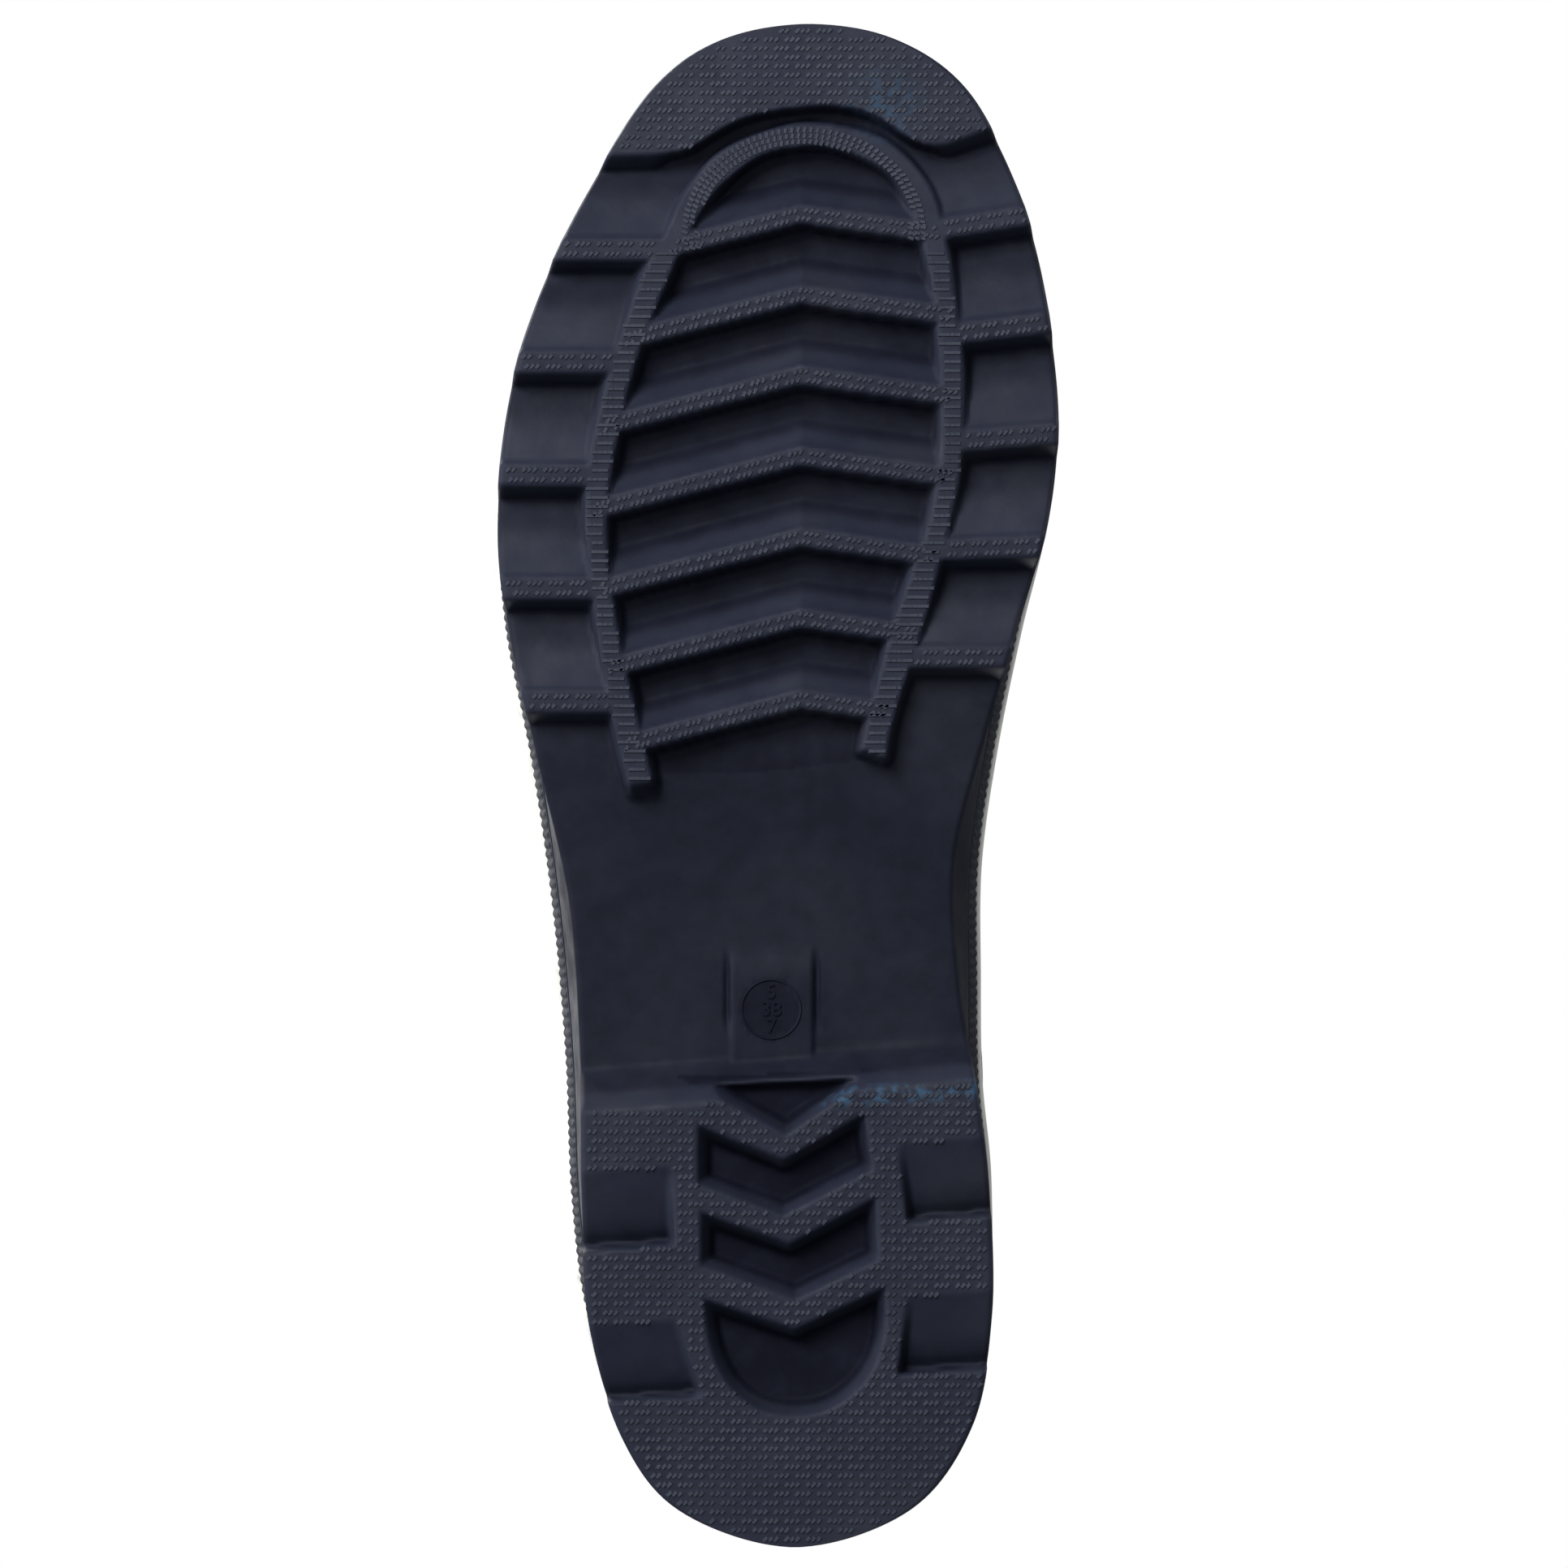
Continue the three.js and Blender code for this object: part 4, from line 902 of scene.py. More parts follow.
def level_rows():
    """Rows across the pads, in groups of three ticks staggered from row to row, and across the
    limbs of the horseshoe, where the ticks of a row lie level and run into one bar."""
    y = np.arange(-132, 132, ROW_PITCH)
    x = np.arange(-50, 50, TICK_PITCH)
    column, row = np.meshgrid(np.arange(len(x)), np.arange(len(y)))
    px, py = x[column].ravel(), y[row].ravel()
    limb = outside_of(px, py, horseshoe) < 0
    keep = limb | ((column + 2 * (row % 2)) % 4 != 3).ravel()
    px, py, limb = px[keep], py[keep], limb[keep]
    inner = (outside_of(px, py, horseshoe_front) < 0) & (outside_of(px, py, horseshoe) > -0.2)
    sides = (py > SIDES_START) & (py < 2) & (outside_of(px, py, horseshoe_front) > 0)
    front = (py < SPOKES_END) & (outside_of(px, py, horseshoe) < 0)
    level = ~inner & ~sides & ~front
    return px[level], py[level], np.where(limb[level], 0.0, LEAN)


# %% Rows on the chevrons and lugs
def chevron_rows():
    """Two rows along each chevron, turned with its arms."""
    x, y, turn = [], [], []
    for i in range(CHEVRONS["count"]):
        for row, offset in enumerate((0.95, 2.4)):
            px = np.arange(-32, 32, TICK_PITCH) + 0.45 * row
            px = px[(np.arange(len(px)) + 2 * row + i) % 4 != 3]
            left = px < CHEVRONS["point"]
            slope = np.where(left, -CHEVRONS["left"], CHEVRONS["right"])
            top = CHEVRONS["first"] + i * CHEVRONS["pitch"] + offset
            py = top + slope * (px - CHEVRONS["point"])
            inner = outside_of(px, py, horseshoe_front) < -1.0
            x.append(px[inner])
            y.append(py[inner])
            turn.append(LEAN + np.arctan(slope[inner]))
    return map(np.concatenate, (x, y, turn))


def lug_rows():
    """Two rows along each side lug, out to the edge of the sole."""
    x, y, turn = [], [], []
    for side in (-1, 1):
        for i in range(LUG_COUNT):
            for row, offset in enumerate((0.9, 2.6)):
                px = side * (np.arange(18, 50, TICK_PITCH) + 0.45 * row)
                px = px[(np.arange(len(px)) + 2 * row + i) % 4 != 3]
                lugs = LEFT_LUGS if side < 0 else RIGHT_LUGS
                tilt = 0.0 if side < 0 else lugs["tilt"] + lugs["tilt_step"] * i
                front = lugs["first"] + i * lugs["pitch"]
                py = front + offset + tilt * (px - RIGHT_LUGS["hinge"])
                outer = outside_of(px, py, horseshoe_front) > 0.6
                x.append(px[outer])
                y.append(py[outer])
                turn.append(np.full(outer.sum(), LEAN + tilt))
    return map(np.concatenate, (x, y, turn))


# %% Ticks round the front of the horseshoe
SPOKE_CENTRE, SPOKE_REACH, SPOKE_STEP = (4.5, -95.0), 17.6, 3.1


def spokes():
    """Three ticks on each spoke, with the spokes a few degrees apart on a flattened circle."""
    angle = np.radians(np.arange(-28, 208, SPOKE_STEP))
    x, y, turn = [], [], []
    for step in (-1.35, -0.3, 0.75):
        reach = SPOKE_REACH + step
        px = SPOKE_CENTRE[0] + (reach + 2.2) * np.cos(angle)
        py = SPOKE_CENTRE[1] - reach * np.sin(angle) * 0.98
        x.append(px)
        y.append(py)
        turn.append(-angle + 0.3)
    return map(np.concatenate, (x, y, turn))


# %% All ticks as one mesh
def wedges(x, y, turn, length=1.2, width=0.58):
    """Closed wedges: a wide foot sunk in the tread and a narrow top on the ground plane."""
    rng = np.random.default_rng(7)
    length = length * rng.uniform(0.85, 1.1, len(x))
    corner = np.array([(-1, -1), (1, -1), (1, 1), (-1, 1)]) / 2
    rings = []
    for grow, z in ((1.0, TICK_HEIGHT + 0.12), (0.6, 0.02)):
        a = corner[:, 0][None] * length[:, None] * mix(1, grow, 0.6)
        b = corner[:, 1][None] * width * grow * 1.3
        c, s = np.cos(turn)[:, None], np.sin(turn)[:, None]
        px, py = x[:, None] + a * c - b * s, y[:, None] + a * s + b * c
        rings.append(np.dstack([px, py, np.full(a.shape, z)]))
    points = np.concatenate(rings, axis=1).reshape(-1, 3)
    sides = [[i, (i + 1) % 4, 4 + (i + 1) % 4, 4 + i] for i in range(4)]
    faces = np.array([[3, 2, 1, 0], [4, 5, 6, 7], *sides])
    return points, (faces[None] + 8 * np.arange(len(x))[:, None, None]).reshape(-1, 4)


def on_flat(x, y, turn):
    """Keeps the ticks whose middle and both ends lie on flat tread inside the sole's edge."""
    u = np.linspace(0, 1, 721)[:-1]
    rim = edge(u)
    tread_edge = rim[:, :2] + inward(u) * (rim[:, 2:] + 0.9)
    keep = outside_of(x, y, tread_edge) < 0
    for share in (-0.35, 0.0, 0.35):
        keep &= tread(x + share * np.cos(turn), y + share * np.sin(turn)) < 0.1
    return x[keep], y[keep], turn[keep]


tick_rows = [tuple(rows_of()) for rows_of in (level_rows, chevron_rows, lug_rows, spokes)]
tick_places = [np.concatenate(part) for part in zip(*tick_rows)]
tick_points, tick_faces = wedges(*on_flat(*tick_places))
tick_mesh = bpy.data.meshes.new("tread_ticks")
tick_mesh.from_pydata(settle(tick_points) / MM, [], tick_faces[:, ::-1].tolist())
tick_mesh.materials.append(TICKS)
ticks = bpy.data.objects.new("tread_ticks", tick_mesh)
bpy.context.collection.objects.link(ticks)
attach(ticks, BOOT)
print("ticks:", len(tick_faces) // 6)

# %% [markdown]
# ## Size mark
# A small round field under the waist carries the size in plain numbers. The numbers are text
# made into a mesh, laid on the tab face down so that they read rightly from below.

# %% Size mark
SIZE_NUMBERS = ("5", "38", "7")
NUMBER_SIZE, NUMBER_PROUD, LINE_PITCH = 3.6, 0.35, 3.0
size_level = arch_height - size_tab + TICK_HEIGHT


def size_ring():
    """A thin oval ring: round the mark at a reach that swings by a cosine, at a level that
    swings by a sine."""
    a = np.linspace(0, 2 * np.pi, 73)
    b = np.linspace(0, 2 * np.pi, 9)[:, None]
    reach = SIZE_RADIUS + 0.22 * np.cos(b)
    level = np.broadcast_to(size_level + 0.3 * np.sin(b), (len(b), len(a)))
    ring = np.dstack([SIZE_MIDDLE[0] + reach * np.cos(a), SIZE_MIDDLE[1] + reach * np.sin(a),
                      level])
    mark_high(closed_piece("size_ring", [(ring, plain_uv(ring))], TREAD))


def size_numbers():
    """Three lines of numbers, raised a third of a millimetre from the tab."""
    for line, text in enumerate(SIZE_NUMBERS):
        curve = bpy.data.curves.new("size_text", "FONT")
        curve.body, curve.size, curve.extrude = text, NUMBER_SIZE, NUMBER_PROUD
        curve.align_x, curve.align_y = "CENTER", "CENTER"
        holder = bpy.data.objects.new("size_text", curve)
        bpy.context.collection.objects.link(holder)
        bpy.context.view_layer.update()
        mesh = bpy.data.meshes.new_from_object(holder)
        bpy.data.objects.remove(holder)
        points = np.empty(len(mesh.vertices) * 3)
        mesh.vertices.foreach_get("co", points)
        x, y, z = points.reshape(-1, 3).T
        across, down = SIZE_MIDDLE + (0.0, LINE_PITCH * (line - 1))
        placed = np.column_stack([x + across, down - y, size_level - z])
        mesh.vertices.foreach_set("co", (settle(placed) / MM).ravel())
        mesh.materials.clear()
        mesh.materials.append(TREAD)
        mesh.update()
        number = bpy.data.objects.new(f"size_number_{line + 1}", mesh)
        bpy.context.collection.objects.link(number)
        fixed = bmesh.new()
        fixed.from_mesh(mesh)
        bmesh.ops.remove_doubles(fixed, verts=fixed.verts, dist=1e-6)
        bmesh.ops.recalc_face_normals(fixed, faces=fixed.faces)
        fixed.to_mesh(mesh)
        fixed.free()
        mark_high(number)
        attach(number, BOOT)


size_ring()
size_numbers()

# %% [markdown]
# ## Bands around the edge
# Two strips are rolled round the joint of sole and upper. The lower one is knurled with upright
# ribs above a smooth bead, and the upper one is a plain pale half-round. Both are a profile
# carried round the outline. The ribs are real: the outside moves in and out once each rib.

# %% A profile carried round the sole
def ring_piece(name, u, profile, finish, nodes):
    """A closed profile, given as (inset, height over the outsole) for every u, carried round."""
    rings = np.stack([inside(u, inset, up) for inset, up in [*profile, profile[0]]])
    run = 4.0 * np.arange(len(rings))
    closed_piece(name, [(rings, lattice(run, u * 620.0))], finish, nodes)


# %% Foxing band
RIB_COUNT, RIB_DEPTH = 354, 0.34


def foxing():
    """Leans out as it rises. The ribs are a raised cosine round the outline, faded at the ends."""
    u = np.linspace(0, 1, RIB_COUNT * 6 + 1)
    rib = RIB_DEPTH * (0.5 + 0.5 * np.cos(2 * np.pi * RIB_COUNT * u)) ** 0.7
    inner = upper_inset - 2 * gap

    def out(share, depth=0.0):
        """Inset and height on the leaning outside, at a share of the band's height."""
        return sole_edge_inset - foxing_lean * share + depth, gap + foxing_height * share

    foot_bead = [(0.0, 0.5), (0.02, 0.1), (0.06, -0.15), (0.11, -0.15), (0.15, 0.1), (0.17, 0.45)]
    profile = [(inner, gap), *[out(*at) for at in foot_bead]]
    ribbed = ((0.2, 0.2), (0.25, 1), (0.45, 1), (0.65, 1), (0.85, 1), (0.93, 0.9), (0.97, 0.2))
    for share, part in ribbed:
        inset, up = out(share)
        profile.append((inset + 0.45 - rib * part - 0.2 * part, up))
    profile += [out(1.0, 0.6), (inner, gap + foxing_height)]
    profile = [(np.broadcast_to(inset, u.shape), up) for inset, up in profile]
    ring_piece("foxing_knurl", u, profile, EDGE, ["foxing_band"])


foxing()


# %% Pale stripe
def stripe():
    """A half-round: inset falls to nothing at mid height and returns at the top and the foot."""
    u = np.linspace(0, 1, 721)
    inner, low = upper_inset - 2 * gap, foxing_height + 2 * gap
    swing = np.linspace(-np.pi / 2, np.pi / 2, 13)
    round_side = [(0.9 * (1 - np.cos(a)), low + stripe_height * (0.5 + 0.5 * np.sin(a)))
                  for a in swing]
    profile = [(inner, low), *round_side, (inner, low + stripe_height)]
    profile = [(np.full(u.shape, inset), up) for inset, up in profile]
    ring_piece("pale_stripe", u, profile, PALE, ["foxing_stripe"])


stripe()

# %% [markdown]
# ## Surface of the upper
# The foot and leg are one smooth surface on which every sheet lies. Twelve rings climb the boot.
# Two stand inside the bands. Six follow the sole's outline drawn in towards the instep, and the
# last three of those begin to turn oval. Four ovals carry on round the leg. A smooth curve
# through the rings at each place round the boot gives the surface. A place is counted in
# thirty-sixths round, from the heel, and a height in seventeenths, from the sole to the top edge,
# as a pattern cutter would mark them.

# %% Rings of the upper
AROUND, RISE = 36.0, 17.0
heel_seat = sole_thickness + heel_rise
toe_shoulder = foxing_height + stripe_height + 2 * gap
top_back = 121.0
top_front = top_back - leg_depth


vamp_base = toe_height + 12


def foot_ring(front, back, up, up_back, share, share_back, oval=0.0, width=ankle_width):
    """Its ends in y, its height over the sole and share of the sole's width at both ends, how
    far it has turned into an oval, and the oval's width."""
    return front, back, up, up_back, share, share_back, oval, width


def leg_ring(share, front, back, width):
    """A whole oval at a share of the way from the ankle to the top edge."""
    up = mix(instep_height + 22, boot_height - sole_thickness, share)
    up_back = mix(instep_height + 18, boot_height - top_slope - heel_seat, share)
    return front, back, up, up_back, 1.0, 1.0, 1.0, width


def vamp_at(share):
    """Height of the vamp at a share of the way from the toe cap to the instep."""
    return mix(vamp_base, instep_height, share)


RINGS = [
    foot_ring(-124.5, 126.4, toe_height, instep_height * 0.31, 0.885, 0.875),
    foot_ring(-112, 124.8, vamp_base, instep_height * 0.45, 0.825, 0.865),
    foot_ring(-84, 122.3, vamp_at(0.19), instep_height * 0.59, 0.73, 0.855),
    foot_ring(-54, 119.5, vamp_at(0.39), instep_height * 0.72, 0.66, 0.855, 0.25, 66),
    foot_ring(-24, 117.2, vamp_at(0.65), instep_height * 0.85, 0.64, 0.87, 0.55, 67),
    foot_ring(1, 116, instep_height, instep_height, 0.7, 0.9, 0.85, 69),
    leg_ring(0, top_front + 7, top_back - 5, ankle_width),
    leg_ring(0.35, top_front + 5, top_back - 3, mix(ankle_width, leg_width, 0.35)),
    leg_ring(0.7, top_front + 2, top_back - 1, mix(ankle_width, leg_width, 0.78)),
    leg_ring(1, top_front, top_back, leg_width),
]
print("rings above the bands:", len(RINGS))

# %% The surface

def ring_points(ring, u, p):
    """One ring: the outline drawn in and slid to new ends, turned by its oval share to an oval."""
    front, back, up, up_back, share, share_back, oval, width = ring
    forward = (half_length - p[:, 1]) / sole_length
    angle = 2 * np.pi * u
    foot = np.column_stack([
        p[:, 0] * mix(share_back, share, smooth(forward)),
        mix(back, front, forward),
        sole_top(p[:, 1]) + mix(up_back, up, forward),
    ])
    middle = (front + back) / 2
    leg = np.column_stack([
        -width / 2 * np.sin(angle),
        middle + (back - middle) * np.cos(angle),
        mix(heel_seat + up_back, sole_thickness + up, (1 - np.cos(angle)) / 2),
    ])
    return mix(foot, leg, oval)


def surface(u, v):
    """Point of the upper at place u (0 to 1 round) and height v (0 to 1 up): the same curve
    through knots as before, with a ring's point at u as each knot."""
    p = edge(u)
    rings = np.stack([inside(u, upper_inset, gap), inside(u, upper_inset + 0.3, toe_shoulder),
                      *[ring_points(ring, u, p) for ring in RINGS]])
    rings = np.concatenate([2 * rings[:1] - rings[1:2], rings, 2 * rings[-1:] - rings[-2:-1]])
    t = np.clip(v, 0, 1) * (len(rings) - 3)
    i = np.clip(np.floor(t).astype(int), 0, len(rings) - 4)
    w = (t - i)[:, None]
    p0, p1, p2, p3 = (rings[i + s, np.arange(len(u))] for s in range(4))
    return 0.5 * (2 * p1 + (p2 - p0) * w + (2 * p0 - 5 * p1 + 4 * p2 - p3) * w**2
                  + (3 * p1 - p0 - 3 * p2 + p3) * w**3)


def upper(place, height, out=0.0):
    """Points at grids of place (thirty-sixths round) and height (seventeenths up), moved out
    along the surface's normal, which is the step across crossed with the step up."""
    place, height, out = np.broadcast_arrays(place, height, out)
    u, v, out = place.ravel() / AROUND, height.ravel() / RISE, out.ravel()[:, None]
    across = surface(u + 0.003, v) - surface(u - 0.003, v)
    climb = surface(u, v + 0.004) - surface(u, v - 0.004)
    normal = np.cross(across, climb)
    normal /= np.linalg.norm(normal, axis=1, keepdims=True)
    return (surface(u, v) + normal * out).reshape(*place.shape, 3)


# %% Borders of the sheets
def height_at_back(z):
    """Height, in seventeenths, at which the back of the boot reaches z."""
    v = np.linspace(0, RISE, 801)
    return np.interp(z, surface(np.zeros(801), v / RISE)[:, 2], v)


band_foot_z = boot_height - top_slope - band_height
band_row = height_at_back(band_foot_z)
stripe_head = height_at_back(band_foot_z - top_stripe_drop)
stripe_foot = height_at_back(band_foot_z - top_stripe_drop - top_stripe_height)
LEG_ROW, CAP_ROW, COUNTER_ROW, BANDS_TOP = 11.0, 5.0, 6.0, 2.0
print("band from row", round(band_row, 2), "stripe", round(stripe_foot, 2), round(stripe_head, 2))

# %% [markdown]
# ## Sheets of rubber
# A sheet is a patch of the surface with a thickness and skived edges: its outside follows a
# quarter circle down to a short wall at the border. Both faces use the same lines, with two
# lines on top of each other at the border to make the wall, so that the sheet closes. A sheet may
# have a curved upper border, and a relief such as a bead that runs along inside its edge.

# %% Sheets
def crowded(start, end, count, step):
    """Values from start to end, doubled at both ends and crowded over the first and last step."""
    ease = np.array([0, 0.08, 0.3, 0.6, 1.0]) * step
    return np.concatenate([[start], start + ease, np.linspace(start + step, end - step, count)[1:-1],
                           end - ease[::-1], [end]])


def run_along(points, axis):
    """Length run along one axis of a grid of points, from its first line."""
    step = np.linalg.norm(np.diff(points, axis=axis), axis=2)
    zero = np.zeros_like(np.take(step, [0], axis=axis))
    return np.concatenate([zero, np.cumsum(step, axis=axis)], axis=axis)


def sheet_grids(places, heights, inner, outer, counts, skive=0.7, top=None, relief=None):
    """Outside and inside grids of a sheet between two places and two heights. top gives the share
    of the height that the sheet reaches, for a place from -1 to 1 across it."""
    level_line = upper(np.linspace(*places, 40)[None], np.mean(heights))
    upright_line = upper(np.mean(places), np.linspace(*heights, 40)[:, None])
    per_across = (places[1] - places[0]) / run_along(level_line, 1)[0, -1]
    tall = run_along(upright_line, 0)[-1, 0]
    trim_place = gap / 2 * per_across
    trim_height = gap / 2 / tall * (heights[1] - heights[0])
    across = crowded(places[0] + trim_place, places[1] - trim_place, counts[0],
                     skive * per_across)
    share = crowded(0.0, 1.0, counts[1], skive / tall)
    where = 2 * (across - across[0]) / (across[-1] - across[0]) - 1
    reach = np.ones_like(across) if top is None else top(where)
    low, high = heights[0] + trim_height, heights[1] - trim_height
    height = low + (high - low) * share[:, None] * reach[None]
    place = np.broadcast_to(across, height.shape)
    base = upper(place, height)
    up, over = run_along(base, 0), run_along(base, 1)
    inset = np.minimum(np.minimum(up, up[-1:] - up), np.minimum(over, over[:, -1:] - over))
    drop = skive - np.sqrt(np.clip(skive**2 - (skive - np.clip(inset, 0, skive)) ** 2, 0, None))
    offset = outer - np.minimum(drop, outer - inner)
    if relief is not None:
        offset = offset + relief(inset, place, height) * smooth(inset / 0.8)
    offset[[0, -1]] = inner
    offset[:, [0, -1]] = inner
    uv = np.stack([over, up], axis=-1)
    return [(upper(place, height, offset), uv), (upper(place, height, inner)[::-1], uv[::-1])]


def bead(distance, proud, width=0.9):
    """A raised line that runs at a distance inside the border of a sheet."""
    return lambda inset, place, height: proud * np.exp(-((inset - distance) / width) ** 2)


# %% Vamp, quarter and leg
PANELS = [
    ("vamp_sheet", (9, 27), (0, LEG_ROW), (170, 110), "vamp"),
    ("quarter_sheet", (-9, 9), (0, LEG_ROW), (130, 90), "heel_quarter"),
    ("leg_sheet_lateral", (0, 18), (LEG_ROW, RISE), (110, 60), "leg_lateral"),
    ("leg_sheet_medial", (18, 36), (LEG_ROW, RISE), (110, 60), "leg_medial"),
]
for name, places, heights, counts, node in PANELS:
    panel = sheet_grids(places, heights, -rubber, 0.0, counts)
    closed_piece(name, panel, UPPER, [node])


# %% Cap, counter and strips
def trim_sheet(name, places, heights, counts, node, **shape):
    """A sheet laid over the upper, with a skived edge."""
    grids = sheet_grids(places, heights, gap, gap + overlay, counts, **shape)
    closed_piece(name, grids, TRIM, [node])


def arched(ends, power):
    """The share of its height that a sheet reaches: a power curve that falls to the ends."""
    return lambda q: ends + (1 - ends) * (1 - np.abs(q) ** power)


trim_sheet("toe_cap_sheet", (13, 23), (BANDS_TOP, CAP_ROW), (120, 46), "toe_cap",
           skive=1.2, top=arched(0.15, 2.6), relief=bead(3.2, 0.45))
trim_sheet("heel_counter_sheet", (-6, 6), (BANDS_TOP, COUNTER_ROW), (110, 60), "heel_counter",
           skive=1.2, top=arched(0.35, 3.5), relief=bead(3.2, 0.45))
trim_sheet("back_seam_strip", (-0.9, 0.9), (COUNTER_ROW, stripe_foot), (16, 90), "back_strip",
           skive=1.0, relief=bead(2.6, 0.3, 0.6))
trim_sheet("front_seam_strip", (17.1, 18.9), (10, stripe_foot), (16, 70), "front_strip",
           skive=1.0, relief=bead(2.6, 0.3, 0.6))

# %% [markdown]
# ## Ankle patches and kick spur
# A round pad guards each ankle bone, with raised rings that were cut into its mould. It has to
# look round from the side, so the places on the surface are found by a few steps of Newton's
# method: each step compares where a point is with where it should be, in y and z. The spur is a
# ledge across the heel that the other foot holds down to pull the boot off.

# %% Ankle patches
PATCH_RADIUS, PATCH_ROUNDING = 19.0, 1.2
PATCH_RIBS, RIB_WIDTH = np.array([6.0, 10.5, 15.0]), 0.8


def ankle_patch(name, place, height, node):
    """A disc of rings and spokes on the surface, with a rounded rim and three raised rings."""
    rim = PATCH_RADIUS - np.array([0, 0, 0.1, 0.4, 0.9])
    reach = np.concatenate([rim, np.linspace(17.5, 0, 36)])
    spoke = np.linspace(0, 2 * np.pi, 97)
    p = np.full((len(reach), len(spoke)), float(place))
    h = np.full((len(reach), len(spoke)), float(height))
    centre = upper(np.array([[place]]), np.array([[height]]))[0, 0, 1:]
    goal = centre + reach[:, None, None] * np.stack([np.cos(spoke), np.sin(spoke)], axis=-1)
    for _ in range(5):
        here = upper(p, h)[..., 1:]
        dp = (upper(p + 0.02, h)[..., 1:] - here) / 0.02
        dh = (upper(p, h + 0.02)[..., 1:] - here) / 0.02
        miss = goal - here
        twist = dp[..., 0] * dh[..., 1] - dp[..., 1] * dh[..., 0]
        p = p + (miss[..., 0] * dh[..., 1] - miss[..., 1] * dh[..., 0]) / twist
        h = h + (dp[..., 0] * miss[..., 1] - dp[..., 1] * miss[..., 0]) / twist
    inner, outer = 2 * gap, 2 * gap + overlay
    from_roll = 1 - np.clip((PATCH_RADIUS - reach) / PATCH_ROUNDING, 0, 1)
    rounding = np.sqrt(np.clip(1 - from_roll**2, 0, 1))
    ribs = 0.4 * np.exp(-((reach[:, None] - PATCH_RIBS) / RIB_WIDTH) ** 2).sum(axis=1)
    out = mix(inner + 0.3, outer, rounding) + ribs - 0.25
    out[0] = inner
    out = np.broadcast_to(out[:, None], p.shape)
    uv = goal - centre
    grids = [(upper(p, h, out), uv), (upper(p, h, inner)[::-1], uv[::-1])]
    closed_piece(name, grids, TRIM, [node])


ankle_patch("ankle_pad_lateral", 7.2, 8.6, "ankle_patch_lateral")
ankle_patch("ankle_pad_medial", 28.8, 8.6, "ankle_patch_medial")

# %% Kick spur
LEDGE_PROUD, LEDGE_FOOT = 3.2, 2 * gap + overlay


def ledge(inset, place, height):
    """Stands out most in the middle: a parabola across, and a slope that falls off upwards."""
    falling = 1 - 0.75 * smooth((height - 3.6) / 0.8)
    return LEDGE_PROUD * (1 - (place / 2.6) ** 2) * falling


spur = sheet_grids((-2.4, 2.4), (3.4, 4.4), LEDGE_FOOT, LEDGE_FOOT + 0.9, (60, 24),
                   skive=0.8, relief=ledge)
closed_piece("kick_ledge", spur, TRIM, ["kick_spur"])

# %% [markdown]
# ## Rings round the leg
# The pale ring is a flat strip with rounded edges, and the binding is a strip folded over the top
# edge, down the outside and the inside, with two fine grooves rolled into it. Both are profiles of
# height and depth carried round the surface.

# %% A profile carried round the leg
def round_leg(name, profile, count, finish, nodes):
    """A closed profile, given as (height in seventeenths, offset, extra z), carried round."""
    place = np.linspace(0, AROUND, count + 1)
    rings = []
    for height, out, extra in [*profile, profile[0]]:
        ring = upper(place[None], np.full((1, 1), height), np.full((1, 1), out))[0]
        ring[:, 2] += extra
        rings.append(ring)
    grid = np.stack(rings)
    run_up = run_along(grid, 0)
    run_round = np.broadcast_to(run_along(grid, 1)[len(profile) // 2], run_up.shape)
    closed_piece(name, [(grid, np.stack([run_round, run_up], axis=-1))], finish, nodes)


# %% Pale ring
RING_PROUD = 1.0
# Share of the ring's height and share of its thickness, from the foot up the outside.
RING_PROFILE = [
    (0.0, 0.0), (0.0, 0.5), (0.03, 0.8), (0.1, 1.0), (0.35, 1.05), (0.65, 1.05), (0.9, 1.0),
    (0.97, 0.8), (1.0, 0.5), (1.0, 0.0), (0.5, 0.0),
]
ring_profile = [(mix(stripe_foot, stripe_head, share), gap + RING_PROUD * out, 0.0)
                for share, out in RING_PROFILE]
round_leg("pale_ring", ring_profile, 360, PALE, ["top_stripe"])

# %% Binding
LIP, GROOVE = 1.2, 0.85         # thickness of the binding, and what is left in its grooves
# Share of the band's height below the top edge, and thickness: up the outside, down the inside.
BINDING_OUTSIDE = [
    (1.0, 0.0), (1.0, 0.6), (0.98, 1.0), (0.94, LIP), (0.86, LIP), (0.84, GROOVE), (0.81, GROOVE),
    (0.79, LIP), (0.5, LIP), (0.3, LIP), (0.28, GROOVE), (0.25, GROOVE), (0.23, LIP), (0.12, LIP),
]
BINDING_INSIDE = [
    (0.12, LIP), (0.4, LIP), (0.66, LIP), (0.69, 0.9), (0.7, 0.4), (0.7, 0.0), (0.4, 0.0),
]


def binding():
    """The two sides, joined over the top edge by half an ellipse."""
    inside_face = rubber + lining + 2 * gap
    reach = RISE - band_row
    profile = [(RISE - reach * share, gap + out, 0.0) for share, out in BINDING_OUTSIDE]
    centre, half = (gap - inside_face) / 2, (gap + inside_face) / 2 + LIP
    profile += [(RISE, centre + half * np.cos(a), gap + 0.1 + 1.5 * np.sin(a))
                for a in np.linspace(0, np.pi, 13)]
    profile += [(RISE - reach * share, -inside_face - out, 0.0) for share, out in BINDING_INSIDE]
    profile += [(RISE, -inside_face, gap), (RISE, gap, gap), (RISE - reach * 0.5, gap, 0.0)]
    round_leg("top_binding", profile, 300, TRIM, ["top_band"])


binding()

